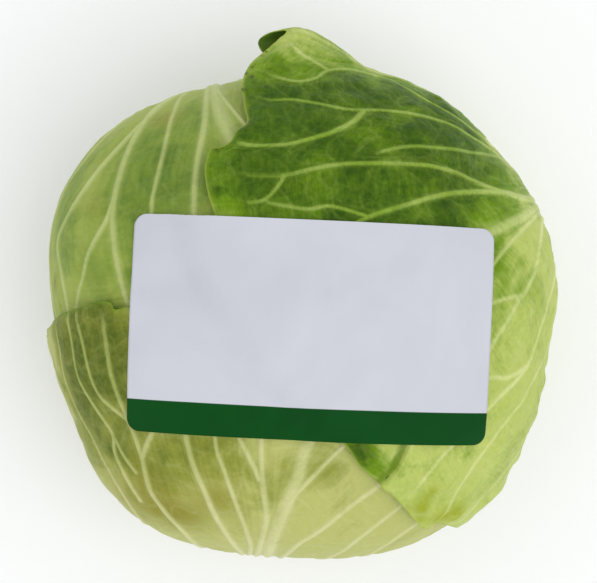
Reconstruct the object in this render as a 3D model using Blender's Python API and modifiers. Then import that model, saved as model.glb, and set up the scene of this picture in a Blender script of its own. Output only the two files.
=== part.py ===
# A head of smooth green cabbage, trimmed as it is sold. It stands on its cut stem with the apex up.
# Lengths are in metres, +Z is up, and the origin is the centre of the stem's cut face.
# A place on the head is written as (azimuth, elevation) in degrees, seen from the head's centre.

import math

import bmesh
import bpy
import numpy as np

# The head as a whole
HEAD_WIDTH = 0.1742
TOP_HEIGHT = 0.070
BOTTOM_DEPTH = 0.066
CENTRE_HEIGHT = 0.0725
OUTLINE_POWER = 2.3
# Seen from above the head is uneven: waves round it, as (count, share of the radius, azimuth shift)
GIRTH_WAVES = [(1, 0.007, -165), (2, 0.016, -13), (3, 0.020, 69), (4, 0.023, -176), (5, 0.018, 51)]

# The layers, measured outwards from the heart
HEART_DEPTH = 0.0064
LAYER_GAP = 0.0008
BLADE = 0.0010
OUTER_RIB = 0.0013
INNER_RIB = 0.0008
INNER_LIFT = LAYER_GAP
OUTER_LIFT = INNER_LIFT + BLADE + INNER_RIB + LAYER_GAP
LAYER_STEP = BLADE + OUTER_RIB + LAYER_GAP
RAMP_START = 0.003
RAMP_LENGTH = 0.027

# The stem, which widens downwards as a cone from the head's centre, inside the ring of leaf feet
STEM_CONE = 14.5
STEM_FACE_RADIUS = 0.0162
STEM_EDGE = 0.0008
STEM_EDGE_RISE = 0.0004
STEM_SHOULDER = 0.0020
STEM_TOP = 0.0140
STEM_SIDES = 48
STEM_CLEARANCE = 0.0003

# Ribs and leaf stalks
RIB_HALF_WIDTH = 0.0042
RIB_TIP_SHARE = 0.45
OUTER_STALK_HALF_WIDTH = 0.0150
INNER_STALK_HALF_WIDTH = 0.0090
STALK_TIP_HALF_WIDTH = 0.0040
OUTER_STALK = 0.0045
INNER_STALK = 0.0030
OUTER_STALK_REACH = 0.45
INNER_STALK_REACH = 0.16
FOOT_SHARE = 0.30

# The free edges
EDGE_WAVE = 0.0011
EDGE_WAVE_REACH = 0.10
EDGE_WAVES = 1.3

# The lobe of the right leaf that stands off the head and rolls under
ROLL_TOP = 36.0
ROLL_START_AZIMUTH = 72.0
ROLL_FULL_AZIMUTH = 92.0
ROLL_LAST_AZIMUTH = 125.0
ROLL_STRAIGHT = 0.0372
ROLL_RADIUS = 0.0050
ROLL_STEPS = 40
ROLL_COLUMNS = {15: 1, 16: 3, 17: 3}

# The label
LABEL_WIDTH = 0.1136
LABEL_DEPTH = 0.0686
LABEL_CENTRE = (0.0030, -0.0045)
LABEL_TURN = -2.5
LABEL_CORNER = 0.0040
LABEL_THICKNESS = 0.0006
LABEL_COLUMNS = 22
LABEL_ROWS = 10
LABEL_CORNER_ROWS = 3
LABEL_RAMP = 0.014
LABEL_SETTLING_STEPS = 8

# How fine the grids are
LINE_SAMPLES = 120
EDGE_SAMPLES = 8
OUTER_ROWS = 15
INNER_ROWS = 10
MOST_SPACING = 0.014
ROW_CROWDING = 1.2
HEART_SEGMENTS = 36
HEART_RINGS = 18
HEART_RIBS = 9
HEART_RIB = 0.0006
HEART_RIB_SLANT = 3.0
HEART_RIB_TOP = 0.75
HEART_RIB_RANGE = 1.2

LEAF_GREEN = (0.33, 0.46, 0.14, 1.0)
PALE_GREEN = (0.52, 0.58, 0.24, 1.0)
RIGHT_GREEN = (0.16, 0.33, 0.05, 1.0)
HEART_GREEN = (0.62, 0.66, 0.36, 1.0)
STEM_GREEN = (0.68, 0.70, 0.44, 1.0)
PAPER = (0.64, 0.64, 0.74, 1.0)

# A leaf is a row of lines that run from its foot at the stem to its free edge, from one side to the other.
# "rib" is a line with a raised rib on it, "stalk" is the midrib and "plain" is a line of bare blade.
RIGHT_LEAF = [
    ("plain", [(-15, -75), (-24, -45), (-34, -20), (-42, 5), (-51, 15)]),
    ("rib", [(-12, -75), (-9, -45), (-15, -20), (-24, 1), (-38, 15), (-56, 19)]),
    ("rib", [(-8, -75), (6, -45), (2, -20), (-8, 2), (-27, 21), (-37, 31), (-47, 32), (-60, 24)]),
    ("rib", [(2, -75), (15, -45), (14, -12), (6, 7), (-6, 22), (-14, 30), (-33, 38), (-47, 41), (-62, 35)]),
    ("rib", [(12, -75), (20, -45), (21.5, -5), (22, 10), (20, 32), (11, 40), (-8, 48), (-36, 52), (-64, 45)]),
    ("plain", [(19, -75), (23, -45), (23.5, -5), (23, 20), (18, 44), (0, 58), (-33, 62), (-66, 53)]),
    ("stalk", [(26, -75), (25.5, -45), (25, -5), (25, 25), (24, 37), (25, 64), (-149, 81)]),
    ("rib", [(33, -75), (28.5, -45), (27, -5), (27.5, 15), (32, 31), (42, 47), (54, 58), (91, 71), (146, 67)]),
    ("rib", [(40, -75), (32, -45), (29.5, -5), (30, 14), (35, 30), (56, 43), (76, 51), (97, 55.5), (123, 48)]),
    ("plain", [(44, -75), (35, -45), (32, -5), (35, 17), (43, 34), (62, 45), (90, 51), (121, 45)]),
    ("rib", [(48, -75), (38, -45), (35, -8), (41, 16), (47, 29), (58, 39), (75, 42.5), (90, 46), (113, 43.5)]),
    ("plain", [(50, -75), (41, -45), (37.5, -8), (43, 13), (50, 26), (62, 34), (78, 38.5), (107, 38)]),
    ("rib", [(53, -75), (44, -45), (40, -8), (45, 10), (52, 22), (62, 28), (73, 34), (90, 33.5), (105, 28)]),
    ("plain", [(55, -75), (47, -45), (43, -9), (48, 9), (60, 22), (77, 26), (90, 29.5), (104, 24)]),
    ("rib", [(57, -75), (50, -45), (46, -10), (50, 7), (61, 16.5), (72, 15), (83, 20.5), (91, 25.5), (102, 20.5)]),
    ("rib", [(60, -75), (53, -45), (51, -13), (55, 3), (66, 12.5), (74, 12), (83, 17.5), (88, 16.5), (95, 12.5)]),
    ("plain", [(62, -75), (57, -45), (58, -16), (63, -2), (70, 7), (77, 8.5), (85, 9), (93, 8.5)]),
    ("plain", [(64, -75), (61, -45), (63, -18), (68, -3), (73.5, 4), (80, 6.5), (90, 3.5), (99, 3)]),
    ("plain", [(66, -75), (65, -45), (68, -20), (72, -4), (77, 3.5), (82, 4.5), (89, 0), (96, -2)]),
]

LOWER_LEAF = [
    ("plain", [(-139, -75), (-155, -45), (-168, -20), (-175, 2), (-179, 16)]),
    ("rib", [(-135, -75), (-137, -45), (-141, -18), (-149, 4), (-164, 17), (-181, 22)]),
    ("rib", [(-131, -75), (-122, -45), (-119, -15), (-121, 8), (-134, 25), (-148, 33), (-163, 31), (-182, 29)]),
    ("plain", [(-127, -75), (-118, -45), (-115, -15), (-117, 9), (-129, 28), (-145, 37), (-164, 36), (-183, 35)]),
    ("rib", [(-123, -75), (-114, -45), (-111, -15), (-113, 10), (-126, 29), (-141, 38), (-157, 41), (-184, 41)]),
    ("plain", [(-117, -75), (-109, -45), (-107, -15), (-109, 10), (-122, 34), (-141, 44), (-160, 49), (-181, 47)]),
    ("rib", [(-111, -75), (-105, -45), (-103.5, -10), (-104, 12), (-117, 37), (-129, 47), (-150, 57), (-177, 60)]),
    ("rib", [(-105, -75), (-102, -45), (-101.5, -10), (-102, 15), (-108, 37), (-118, 50), (-138, 63), (-172, 69)]),
    ("rib", [(-100, -75), (-100, -45), (-100, 0), (-100, 19), (-99, 36), (-106, 52), (-120, 70), (-165, 79)]),
    ("stalk", [(-95, -75), (-97, -45), (-98, 0), (-98, 20), (-94, 43), (-83, 52), (-60, 61), (-15, 67)]),
    ("rib", [(-87, -75), (-92, -45), (-95, -5), (-94, 15), (-82, 35), (-66, 45), (-49, 50), (-27, 52)]),
    ("rib", [(-77, -75), (-83, -45), (-86, -5), (-83, 13), (-75, 23), (-60, 32), (-46, 37), (-32, 39)]),
    ("rib", [(-68, -75), (-70, -45), (-69, -10), (-62, 8), (-50, 18), (-38, 24), (-28, 26)]),
    ("plain", [(-59, -75), (-54, -45), (-48, -20), (-42, -3), (-34, 8), (-26, 14)]),
]

UPPER_LEFT_LEAF = [
    ("plain", [(71, -75), (74, -45), (76, -22), (70, -6), (60, 6)]),
    ("rib", [(83, -75), (91, -45), (94, -20), (90, -2), (77, 13), (60, 24)]),
    ("rib", [(93, -75), (102, -45), (106, -15), (104, 8), (92, 28), (73, 41), (52, 48)]),
    ("rib", [(102, -75), (107.5, -45), (109.5, -15), (109.5, 10), (106.5, 35), (95, 50), (65, 61), (20, 64)]),
    ("stalk", [(110.6, -75), (110.6, -45), (110.6, 8), (111, 38), (114, 56), (135, 77), (240, 80)]),
    ("rib", [(119, -75), (114, -45), (111.8, -15), (111.5, 8), (116, 33), (125, 46), (150, 62), (200, 72)]),
    ("rib", [(127, -75), (117, -45), (113, -15), (112.5, 8), (120, 26), (136, 41), (158, 54), (188, 61)]),
    ("rib", [(135, -75), (122, -45), (115.5, -15), (114.5, 5), (129, 23.5), (149, 34.5), (170, 44), (192, 48)]),
    ("rib", [(143, -75), (128, -45), (119, -15), (117, 5), (129, 19), (146, 18), (163, 12), (177, 19), (190, 28)]),
    ("rib", [(147, -75), (143, -45), (144, -22), (152, -6), (168, 3), (190, 20)]),
    ("plain", [(151, -75), (162, -45), (172, -20), (181, 0), (189, 14)]),
]

# An inner leaf as (degrees beside its midrib, elevation) on the far side; the near side mirrors it.
INNER_FAN = [
    ("rib", [(9, -75), (6, -45), (9, 0), (12, 40)]),
    ("rib", [(21, -75), (17, -45), (24, 0), (28, 34)]),
    ("plain", [(36, -75), (37, -45), (39, -5), (40, 24)]),
]
INNER_MIDRIB = ("stalk", [(0, -75), (0, -45), (0, 0), (0, 43)])
INNER_AZIMUTHS = {"leaf_inner_right": -32.0, "leaf_inner_left": -164.0, "leaf_inner_back": 50.0}


def smoothstep(x):
    x = np.clip(x, 0.0, 1.0)
    return x * x * (3.0 - 2.0 * x)


def direction(azimuth, elevation):
    """Unit vectors from the head's centre, for angles in degrees."""
    a = np.radians(azimuth)
    e = np.radians(elevation)
    return np.stack([np.cos(e) * np.cos(a), np.cos(e) * np.sin(a), np.sin(e)], axis=-1)


def unit(v):
    return v / np.linalg.norm(v, axis=-1, keepdims=True)


def head_radius(d):
    """Distance from the centre to the mean outer surface: a flattened globe with an uneven girth."""
    azimuth = np.arctan2(d[..., 1], d[..., 0])
    across = np.hypot(d[..., 0], d[..., 1])
    waves = sum(share * np.cos(count * azimuth - math.radians(shift)) for count, share, shift in GIRTH_WAVES)
    half_width = HEAD_WIDTH / 2 * (1 + waves)
    half_height = np.where(d[..., 2] > 0, TOP_HEIGHT, BOTTOM_DEPTH)
    total = (across / half_width) ** OUTLINE_POWER + (np.abs(d[..., 2]) / half_height) ** OUTLINE_POWER
    return total ** (-1 / OUTLINE_POWER)


def heart_radius(d):
    return head_radius(d) - HEART_DEPTH


def curve_through(points, u):
    """A smooth curve through points, with whole numbers of u at the points. It never overshoots."""
    steps = np.diff(points, axis=0)
    lengths = np.linalg.norm(steps, axis=-1, keepdims=True) + 1e-12
    tangents = np.empty_like(points)
    tangents[0] = steps[0]
    tangents[-1] = steps[-1]
    inner = steps[:-1] * lengths[1:] + steps[1:] * lengths[:-1]
    tangents[1:-1] = inner / (lengths[1:] + lengths[:-1])
    i = np.clip(np.floor(u).astype(int), 0, len(points) - 2)
    f = (u - i)[..., None]
    start, end = points[i], points[i + 1]
    blend = f * f * (3 - 2 * f)
    leaving = f * (1 - f) ** 2
    arriving = f * f * (f - 1)
    return start + (end - start) * blend + tangents[i] * leaving + tangents[i + 1] * arriving


def line_on_head(places, count=LINE_SAMPLES):
    """Evenly spaced unit vectors along the smooth line through the places."""
    corners = direction(*np.array(places, float).T)
    fine = unit(curve_through(corners, np.linspace(0, len(corners) - 1, 20 * len(corners))))
    run = np.concatenate([[0], np.cumsum(np.linalg.norm(np.diff(fine, axis=0), axis=1))])
    at = np.linspace(0, run[-1], count)
    return unit(np.stack([np.interp(at, run, fine[:, k]) for k in range(3)], axis=1))


class Leaf:
    """The lines of a leaf, ready to be lofted."""

    def __init__(self, lines):
        self.kinds = [kind for kind, places in lines]
        self.lines = np.array([line_on_head(places) for kind, places in lines])
        self.last = len(lines) - 1
        self.outline = self.trace_outline()
        self.middle = unit(self.lines.mean(axis=(0, 1)))

    def at(self, u, t):
        """Directions at line number u, across the leaf, and share t of the way from foot to edge."""
        row = t * (LINE_SAMPLES - 1)
        j = np.clip(np.floor(row).astype(int), 0, LINE_SAMPLES - 2)
        f = (row - j)[..., None, None]
        lines = np.moveaxis(self.lines, 0, 1)
        across = lines[j] * (1 - f) + lines[j + 1] * f
        found = [unit(curve_through(points, value)) for points, value in zip(across, u)]
        return np.array(found)

    def trace_outline(self):
        """The closed outline: up the first side, along the free edge, down the last side."""
        edge_u = np.linspace(0, self.last, self.last * EDGE_SAMPLES + 1)
        edge = unit(curve_through(self.lines[:, -1], edge_u))
        return np.concatenate([self.lines[0, :-1], edge, self.lines[-1, -2::-1]])

    def flatten(self, d):
        """Directions as flat points round the middle of the leaf, true in bearing and distance."""
        east = unit(np.cross([0.0, 0.0, 1.0], self.middle))
        north = np.cross(self.middle, east)
        x, y = d @ east, d @ north
        reach = np.arccos(np.clip(d @ self.middle, -1, 1)) / (np.hypot(x, y) + 1e-12)
        return x * reach, y * reach

    def inside(self, d):
        """Whether each direction lies in the outline, by the number of outline edges to its right."""
        x, y = self.flatten(d)
        px, py = self.flatten(self.outline)
        qx, qy = np.roll(px, -1), np.roll(py, -1)
        crosses = (py[None] > y[:, None]) != (qy[None] > y[:, None])
        rise = np.where(qy == py, 1e-12, qy - py)
        meets = px + (y[:, None] - py) * ((qx - px) / rise)
        return (crosses & (x[:, None] < meets)).sum(axis=1) % 2 == 1

    def cover(self, d, ramp=RAMP_LENGTH):
        """1 where the leaf lies and just round it, falling smoothly to 0 over the ramp."""
        flat = d.reshape(-1, 3)
        apart = np.full(len(flat), 9.0)
        for point in self.outline:
            apart = np.minimum(apart, np.linalg.norm(flat - point, axis=1))
        away = np.where(self.inside(flat), 0.0, apart * HEAD_WIDTH / 2)
        return smoothstep(1 - (away - RAMP_START) / ramp).reshape(d.shape[:-1])


def relief(leaf, d, rib_height, stalk_height, stalk_half_width, stalk_reach):
    """Height of the ribs and the stalk above the blade: round-topped ridges along the lines."""
    flat = d.reshape(-1, 3)
    height = np.zeros(len(flat))
    share = np.linspace(0, 1, LINE_SAMPLES)
    for kind, line in zip(leaf.kinds, leaf.lines):
        if kind == "plain":
            continue
        apart = np.full(len(flat), 9.0)
        along = np.zeros(len(flat))
        for point, part in zip(line, share):
            gap = np.linalg.norm(flat - point, axis=1) * HEAD_WIDTH / 2
            nearer = gap < apart
            apart = np.where(nearer, gap, apart)
            along = np.where(nearer, part, along)
        fade = 1 - (1 - RIB_TIP_SHARE) * along
        ridge = rib_height * fade * np.clip(1 - (apart / (RIB_HALF_WIDTH * fade)) ** 2, 0, 1)
        height = np.maximum(height, ridge)
        if kind == "stalk":
            thin = smoothstep(along / stalk_reach)
            width = stalk_half_width + (STALK_TIP_HALF_WIDTH - stalk_half_width) * thin
            swell = stalk_height * (1 - thin) * smoothstep(1 - apart / width)
            height = np.maximum(height, swell + rib_height * fade * smoothstep(1 - apart / width))
    return height.reshape(d.shape[:-1])


def column_plan(leaf, extra):
    """How many plain columns each gap between two lines gets, so that none is wider than MOST_SPACING."""
    spacing = np.linalg.norm(np.diff(leaf.lines, axis=0), axis=-1).max(axis=1) * HEAD_WIDTH / 2
    needed = np.ceil(spacing / MOST_SPACING).astype(int) - 1
    return [max(int(n), extra.get(i, 0)) for i, n in enumerate(needed)]


def grid_columns(leaf, row_lines, plan):
    """Line numbers of the grid's columns on one row: each rib has a foot, a crest and a foot."""
    spacing = np.linalg.norm(np.diff(row_lines, axis=0), axis=1) * HEAD_WIDTH / 2
    share = np.minimum(FOOT_SHARE, RIB_HALF_WIDTH / (spacing + 1e-9))
    raised = [kind != "plain" for kind in leaf.kinds]
    columns = [0.0]
    for i, count in enumerate(plan):
        first = i + share[i] * raised[i]
        last = i + 1 - share[i] * raised[i + 1]
        if raised[i]:
            columns.append(first)
        columns.extend(first + (last - first) * np.arange(1, count + 1) / (count + 1))
        if raised[i + 1]:
            columns.append(last)
        columns.append(i + 1.0)
    return columns


def roll_lobe(points, d, lift):
    """Lets the lobe stand off the head and roll under, in the upright plane of each azimuth.

    Below ROLL_TOP the leaf's slope changes from the head's own to a straight run and then a roll,
    by a share that grows along the leaf, and the new place is the sum of short steps at that slope.
    """
    azimuth = np.degrees(np.arctan2(d[:, 1], d[:, 0]))
    elevation = np.degrees(np.arcsin(np.clip(d[:, 2], -1, 1)))
    share = smoothstep((azimuth - ROLL_START_AZIMUTH) / (ROLL_FULL_AZIMUTH - ROLL_START_AZIMUTH))
    moved = np.where((share > 0) & (elevation < ROLL_TOP) & (azimuth < ROLL_LAST_AZIMUTH))[0]
    steps = np.linspace(0, 1, ROLL_STEPS)
    levels = ROLL_TOP + (elevation[moved, None] - ROLL_TOP) * steps
    path = direction(np.repeat(azimuth[moved, None], ROLL_STEPS, axis=1), levels)
    on_head = path * (heart_radius(path) + lift[moved, None])[..., None]
    out = np.hypot(on_head[..., 0], on_head[..., 1])
    up = on_head[..., 2]
    d_out, d_up = np.diff(out, axis=1), np.diff(up, axis=1)
    step = np.hypot(d_out, d_up)
    run = np.cumsum(step, axis=1) - step / 2
    head_slope = np.arctan2(d_up, d_out)
    head_slope = np.where(head_slope > 0.5, head_slope - 2 * math.pi, head_slope)
    roll_slope = head_slope[:, :1] - np.clip(run - ROLL_STRAIGHT, 0, None) / ROLL_RADIUS
    slope = head_slope + (roll_slope - head_slope) * share[moved, None]
    new_out = out[:, 0] + (step * np.cos(slope)).sum(axis=1)
    new_up = up[:, 0] + (step * np.sin(slope)).sum(axis=1)
    a = np.radians(azimuth[moved])
    points = points.copy()
    points[moved] = np.stack([new_out * np.cos(a), new_out * np.sin(a), new_up], axis=1)
    return points


def material(name, colour, roughness):
    made = bpy.data.materials.new(name)
    made.use_nodes = True
    shader = made.node_tree.nodes["Principled BSDF"]
    shader.inputs["Base Color"].default_value = colour
    shader.inputs["Roughness"].default_value = roughness
    shader.inputs["Metallic"].default_value = 0.0
    made.diffuse_color = colour
    return made


def finish_object(name, mesh, collection, look):
    made = bpy.data.objects.new(name, mesh)
    collection.objects.link(made)
    mesh.materials.append(look)
    mesh.shade_smooth()
    return made


def sheet_mesh(name, points):
    """A grid mesh, split into triangles, whose corners are moved to the rows and columns of points."""
    rows, columns = points.shape[:2]
    bm = bmesh.new()
    bmesh.ops.create_grid(bm, x_segments=columns - 1, y_segments=rows - 1, size=1.0)
    bm.verts.ensure_lookup_table()
    order = sorted(bm.verts, key=lambda v: (round(v.co.y, 5), round(v.co.x, 5)))
    for vertex, place in zip(order, points.reshape(-1, 3)):
        vertex.co = place
    bmesh.ops.triangulate(bm, faces=bm.faces[:], quad_method="SHORT_EDGE")
    ranks = {vertex.index: rank for rank, vertex in enumerate(order)}
    mesh = bpy.data.meshes.new(name)
    bm.to_mesh(mesh)
    bm.free()
    return mesh, ranks


def thicken(made, ranks, thickness):
    """Solidify outwards, with the thickness of each corner from a vertex group."""
    most = float(thickness.max())
    group = made.vertex_groups.new(name="thickness")
    flat = thickness.ravel()
    for index, rank in ranks.items():
        group.add([index], float(flat[rank]) / most, "REPLACE")
    shell = made.modifiers.new("shell", "SOLIDIFY")
    shell.thickness = most
    shell.offset = 1.0
    shell.use_rim = True
    shell.vertex_group = group.name
    shell.thickness_vertex_group = 0.0


def build_leaf(name, leaf, collection, look, rows, extra=(), under=(), inner=False, rolled=False):
    shares = np.linspace(0, 1, rows) ** (1 / ROW_CROWDING)
    picks = np.round(shares * (LINE_SAMPLES - 1)).astype(int)
    plan = column_plan(leaf, dict(extra))
    columns = np.array([grid_columns(leaf, leaf.lines[:, k], plan) for k in picks])
    d = leaf.at(columns, shares)
    lift = np.full(d.shape[:-1], INNER_LIFT if inner else OUTER_LIFT)
    for lower in under:
        lift = lift + LAYER_STEP * lower.cover(d)
    if inner:
        height = relief(leaf, d, INNER_RIB, INNER_STALK, INNER_STALK_HALF_WIDTH, INNER_STALK_REACH)
    else:
        height = relief(leaf, d, OUTER_RIB, OUTER_STALK, OUTER_STALK_HALF_WIDTH, OUTER_STALK_REACH)
        near_edge = smoothstep((shares - 1 + EDGE_WAVE_REACH) / EDGE_WAVE_REACH)[:, None]
        lift = lift + EDGE_WAVE * near_edge * (0.5 - 0.5 * np.cos(2 * math.pi * EDGE_WAVES * columns))
    points = d * (heart_radius(d) + lift)[..., None]
    if rolled:
        points = roll_lobe(points.reshape(-1, 3), d.reshape(-1, 3), lift.ravel()).reshape(d.shape)
    points[..., 2] += CENTRE_HEIGHT
    mesh, ranks = sheet_mesh(name, points)
    made = finish_object(name, mesh, collection, look)
    thicken(made, ranks, BLADE + height)
    return made


def inner_leaf_lines(azimuth):
    far = [(kind, [(azimuth + side, up) for side, up in places]) for kind, places in INNER_FAN]
    near = [(kind, [(azimuth - side, up) for side, up in places]) for kind, places in INNER_FAN]
    middle = (INNER_MIDRIB[0], [(azimuth + side, up) for side, up in INNER_MIDRIB[1]])
    return near[::-1] + [middle] + far


def build_heart(collection, look):
    """The closed inner head: low ribs of its folded leaves run up from the stem, and its foot is flat."""
    bm = bmesh.new()
    bmesh.ops.create_uvsphere(bm, u_segments=HEART_SEGMENTS, v_segments=HEART_RINGS, radius=1.0)
    for vertex in bm.verts:
        d = unit(np.array(vertex.co, float))
        azimuth = math.atan2(d[1], d[0])
        fade = smoothstep((HEART_RIB_TOP - d[2]) / HEART_RIB_RANGE)
        rib = HEART_RIB * fade * (math.cos(HEART_RIBS * azimuth + HEART_RIB_SLANT * d[2]) - 1)
        place = d * (heart_radius(d) + rib)
        place[2] = max(place[2] + CENTRE_HEIGHT, STEM_TOP + STEM_CLEARANCE)
        vertex.co = place
    bmesh.ops.triangulate(bm, faces=bm.faces[:])
    mesh = bpy.data.meshes.new("heart")
    bm.to_mesh(mesh)
    bm.free()
    return finish_object("heart", mesh, collection, look)


def build_stem(collection, look):
    """A turned stump: it narrows upwards between the leaf bases, and its cut face is flat."""
    slope = math.tan(math.radians(STEM_CONE))
    profile = [
        (0.0, STEM_TOP),
        ((CENTRE_HEIGHT - STEM_TOP) * slope, STEM_TOP),
        ((CENTRE_HEIGHT - STEM_TOP / 2) * slope, STEM_TOP / 2),
        ((CENTRE_HEIGHT - STEM_SHOULDER) * slope, STEM_SHOULDER),
        (STEM_FACE_RADIUS + STEM_EDGE, STEM_EDGE_RISE),
        (STEM_FACE_RADIUS, 0.0),
        (0.0, 0.0),
    ]
    mesh = bpy.data.meshes.new("stem")
    edges = [(i, i + 1) for i in range(len(profile) - 1)]
    mesh.from_pydata([(r, 0.0, z) for r, z in profile], edges, [])
    made = finish_object("stem", mesh, collection, look)
    turn = made.modifiers.new("turn", "SCREW")
    turn.steps = STEM_SIDES
    turn.render_steps = STEM_SIDES
    turn.use_merge_vertices = True
    turn.merge_threshold = 0.0001
    return made


def label_grid():
    """Flat places on the label: even rows, then rows at equal angles round the corner arcs."""
    straight = LABEL_DEPTH / 2 - LABEL_CORNER
    angles = np.radians(np.linspace(0, 90, LABEL_CORNER_ROWS + 1)[1:])
    upper = straight + LABEL_CORNER * np.sin(angles)
    level = np.concatenate([-upper[::-1], np.linspace(-straight, straight, LABEL_ROWS), upper])
    cut = LABEL_CORNER * (1 - np.cos(angles))
    half_width = LABEL_WIDTH / 2 - np.concatenate([cut[::-1], np.zeros(LABEL_ROWS), cut])
    across = np.linspace(-1, 1, LABEL_COLUMNS)
    return half_width[:, None] * across, level[:, None] * np.ones(LABEL_COLUMNS)


def top_lift(leaves, d):
    """Lift of the topmost leaf's outer face. It eases down to the leaf below just past a free edge."""
    base = OUTER_LIFT
    lift = OUTER_LIFT
    for leaf in leaves:
        lift = lift + (base + LAYER_STEP - lift) * leaf.cover(d, LABEL_RAMP)
        base = base + LAYER_STEP * leaf.cover(d)
    return lift


def build_label(leaves, collection, look):
    """A sheet that lies on the top of the head and follows the leaves under it."""
    x, y = label_grid()
    turn = math.radians(LABEL_TURN)
    place_x = LABEL_CENTRE[0] + x * math.cos(turn) - y * math.sin(turn)
    place_y = LABEL_CENTRE[1] + x * math.sin(turn) + y * math.cos(turn)
    out = np.hypot(place_x, place_y)
    up = np.full_like(out, TOP_HEIGHT)
    for _ in range(LABEL_SETTLING_STEPS):
        d = unit(np.stack([place_x, place_y, up], axis=-1))
        up = np.sqrt((heart_radius(d) + top_lift(leaves, d)) ** 2 - out**2)
    points = np.stack([place_x, place_y, up + CENTRE_HEIGHT], axis=-1)
    mesh, ranks = sheet_mesh("label", points)
    made = finish_object("label", mesh, collection, look)
    thicken(made, ranks, np.full(out.shape, LABEL_THICKNESS))
    return made


def main():
    for old in list(bpy.data.objects):
        bpy.data.objects.remove(old)
    collection = bpy.data.collections.new("green_cabbage")
    bpy.context.scene.collection.children.link(collection)

    build_stem(collection, material("stem", STEM_GREEN, 0.6))
    build_heart(collection, material("heart", HEART_GREEN, 0.45))
    for name, azimuth in INNER_AZIMUTHS.items():
        inner = Leaf(inner_leaf_lines(azimuth))
        look = material(name, PALE_GREEN, 0.45)
        build_leaf(name, inner, collection, look, INNER_ROWS, inner=True)

    upper_left = Leaf(UPPER_LEFT_LEAF)
    lower = Leaf(LOWER_LEAF)
    right = Leaf(RIGHT_LEAF)
    look = material("leaf_upper_left", LEAF_GREEN, 0.45)
    build_leaf("leaf_upper_left", upper_left, collection, look, OUTER_ROWS)
    look = material("leaf_lower", PALE_GREEN, 0.45)
    build_leaf("leaf_lower", lower, collection, look, OUTER_ROWS, under=[upper_left])
    look = material("leaf_right", RIGHT_GREEN, 0.4)
    under = [upper_left, lower]
    build_leaf("leaf_right", right, collection, look, OUTER_ROWS, ROLL_COLUMNS, under, rolled=True)
    build_label([upper_left, lower, right], collection, material("label", PAPER, 0.6))


main()
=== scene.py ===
# A head of smooth green cabbage: stem, heart, inner leaves, three outer leaves and a plain paper label.
# Lengths are in metres and angles in degrees. A place on the head is (azimuth, elevation) from its centre.
import math

import bpy
import numpy as np
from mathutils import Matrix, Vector


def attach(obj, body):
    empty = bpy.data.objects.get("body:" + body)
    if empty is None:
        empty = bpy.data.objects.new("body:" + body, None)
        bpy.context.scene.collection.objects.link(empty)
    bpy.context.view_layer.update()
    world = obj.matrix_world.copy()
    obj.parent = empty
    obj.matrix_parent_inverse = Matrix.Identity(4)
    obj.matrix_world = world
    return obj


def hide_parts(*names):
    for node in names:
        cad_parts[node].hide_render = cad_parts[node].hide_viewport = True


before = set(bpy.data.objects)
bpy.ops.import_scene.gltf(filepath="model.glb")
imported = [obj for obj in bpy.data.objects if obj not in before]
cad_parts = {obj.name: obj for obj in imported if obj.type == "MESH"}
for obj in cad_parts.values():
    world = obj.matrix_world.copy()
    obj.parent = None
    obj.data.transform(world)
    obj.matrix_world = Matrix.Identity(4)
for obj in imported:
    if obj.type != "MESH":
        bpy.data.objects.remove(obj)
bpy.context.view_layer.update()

head = {
    "width": 0.1742,  # across the widest level
    "topHeight": 0.070,
    "bottomDepth": 0.066,
    "centreHeight": 0.0725,  # above the surface it stands on
    "outlinePower": 2.3,  # 2 is an ellipse, more is boxier
    "girthWaves": [(1, 0.007, -165), (2, 0.016, -13), (3, 0.020, 69), (4, 0.023, -176), (5, 0.018, 51)],
}
layers = {
    "heartDepth": 0.0064,  # from the mean outer surface in to the heart
    "innerLift": 0.0008,  # inner leaves above the heart
    "outerLift": 0.0034,  # outer leaves above the heart
    "step": 0.0031,  # one outer leaf above another
    "rampStart": 0.003,  # a covering leaf comes down this far past the lower leaf's edge
    "rampLength": 0.027,
}
meanRadius = head["width"] / 2
fullTurn = 2 * math.pi
far = 9.0  # further than any two directions are apart


# Three minus two x, times x squared: a soft step from 0 to 1
def softStep(x):
    x = np.clip(x, 0.0, 1.0)
    return x * x * (3.0 - 2.0 * x)


# Cosines and sines of azimuth and elevation make a unit vector
def aim(azimuth, elevation):
    a, e = np.radians(azimuth), np.radians(elevation)
    return np.stack([np.cos(e) * np.cos(a), np.cos(e) * np.sin(a), np.sin(e)], axis=-1)


# A vector over its own length
def unit(v):
    return v / np.linalg.norm(v, axis=-1, keepdims=True)


# Radius of an uneven flattened globe: a superellipse of width and height, its width waved round the girth
def headRadius(d):
    azimuth = np.arctan2(d[..., 1], d[..., 0])
    across = np.hypot(d[..., 0], d[..., 1])
    waves = sum(size * np.cos(count * azimuth - math.radians(turn)) for count, size, turn in head["girthWaves"])
    halfWidth = head["width"] / 2 * (1 + waves)
    halfHeight = np.where(d[..., 2] > 0, head["topHeight"], head["bottomDepth"])
    power = head["outlinePower"]
    return ((across / halfWidth) ** power + (np.abs(d[..., 2]) / halfHeight) ** power) ** (-1 / power)


# The head's radius less the depth of the leaves that lie on the heart
def heartRadius(d):
    return headRadius(d) - layers["heartDepth"]


# Mean of sine waves in random directions: smooth swells about one size long, between about -1 and 1
def swells(points, size, seed, count=14):
    random = np.random.default_rng(seed)
    total = np.zeros(points.shape[:-1])
    for _ in range(count):
        way = unit(random.normal(size=3)) * fullTurn / size * random.uniform(0.7, 1.4)
        total += np.sin(points @ way + random.uniform(0, fullTurn))
    return total * math.sqrt(2 / count) * 0.6


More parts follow.
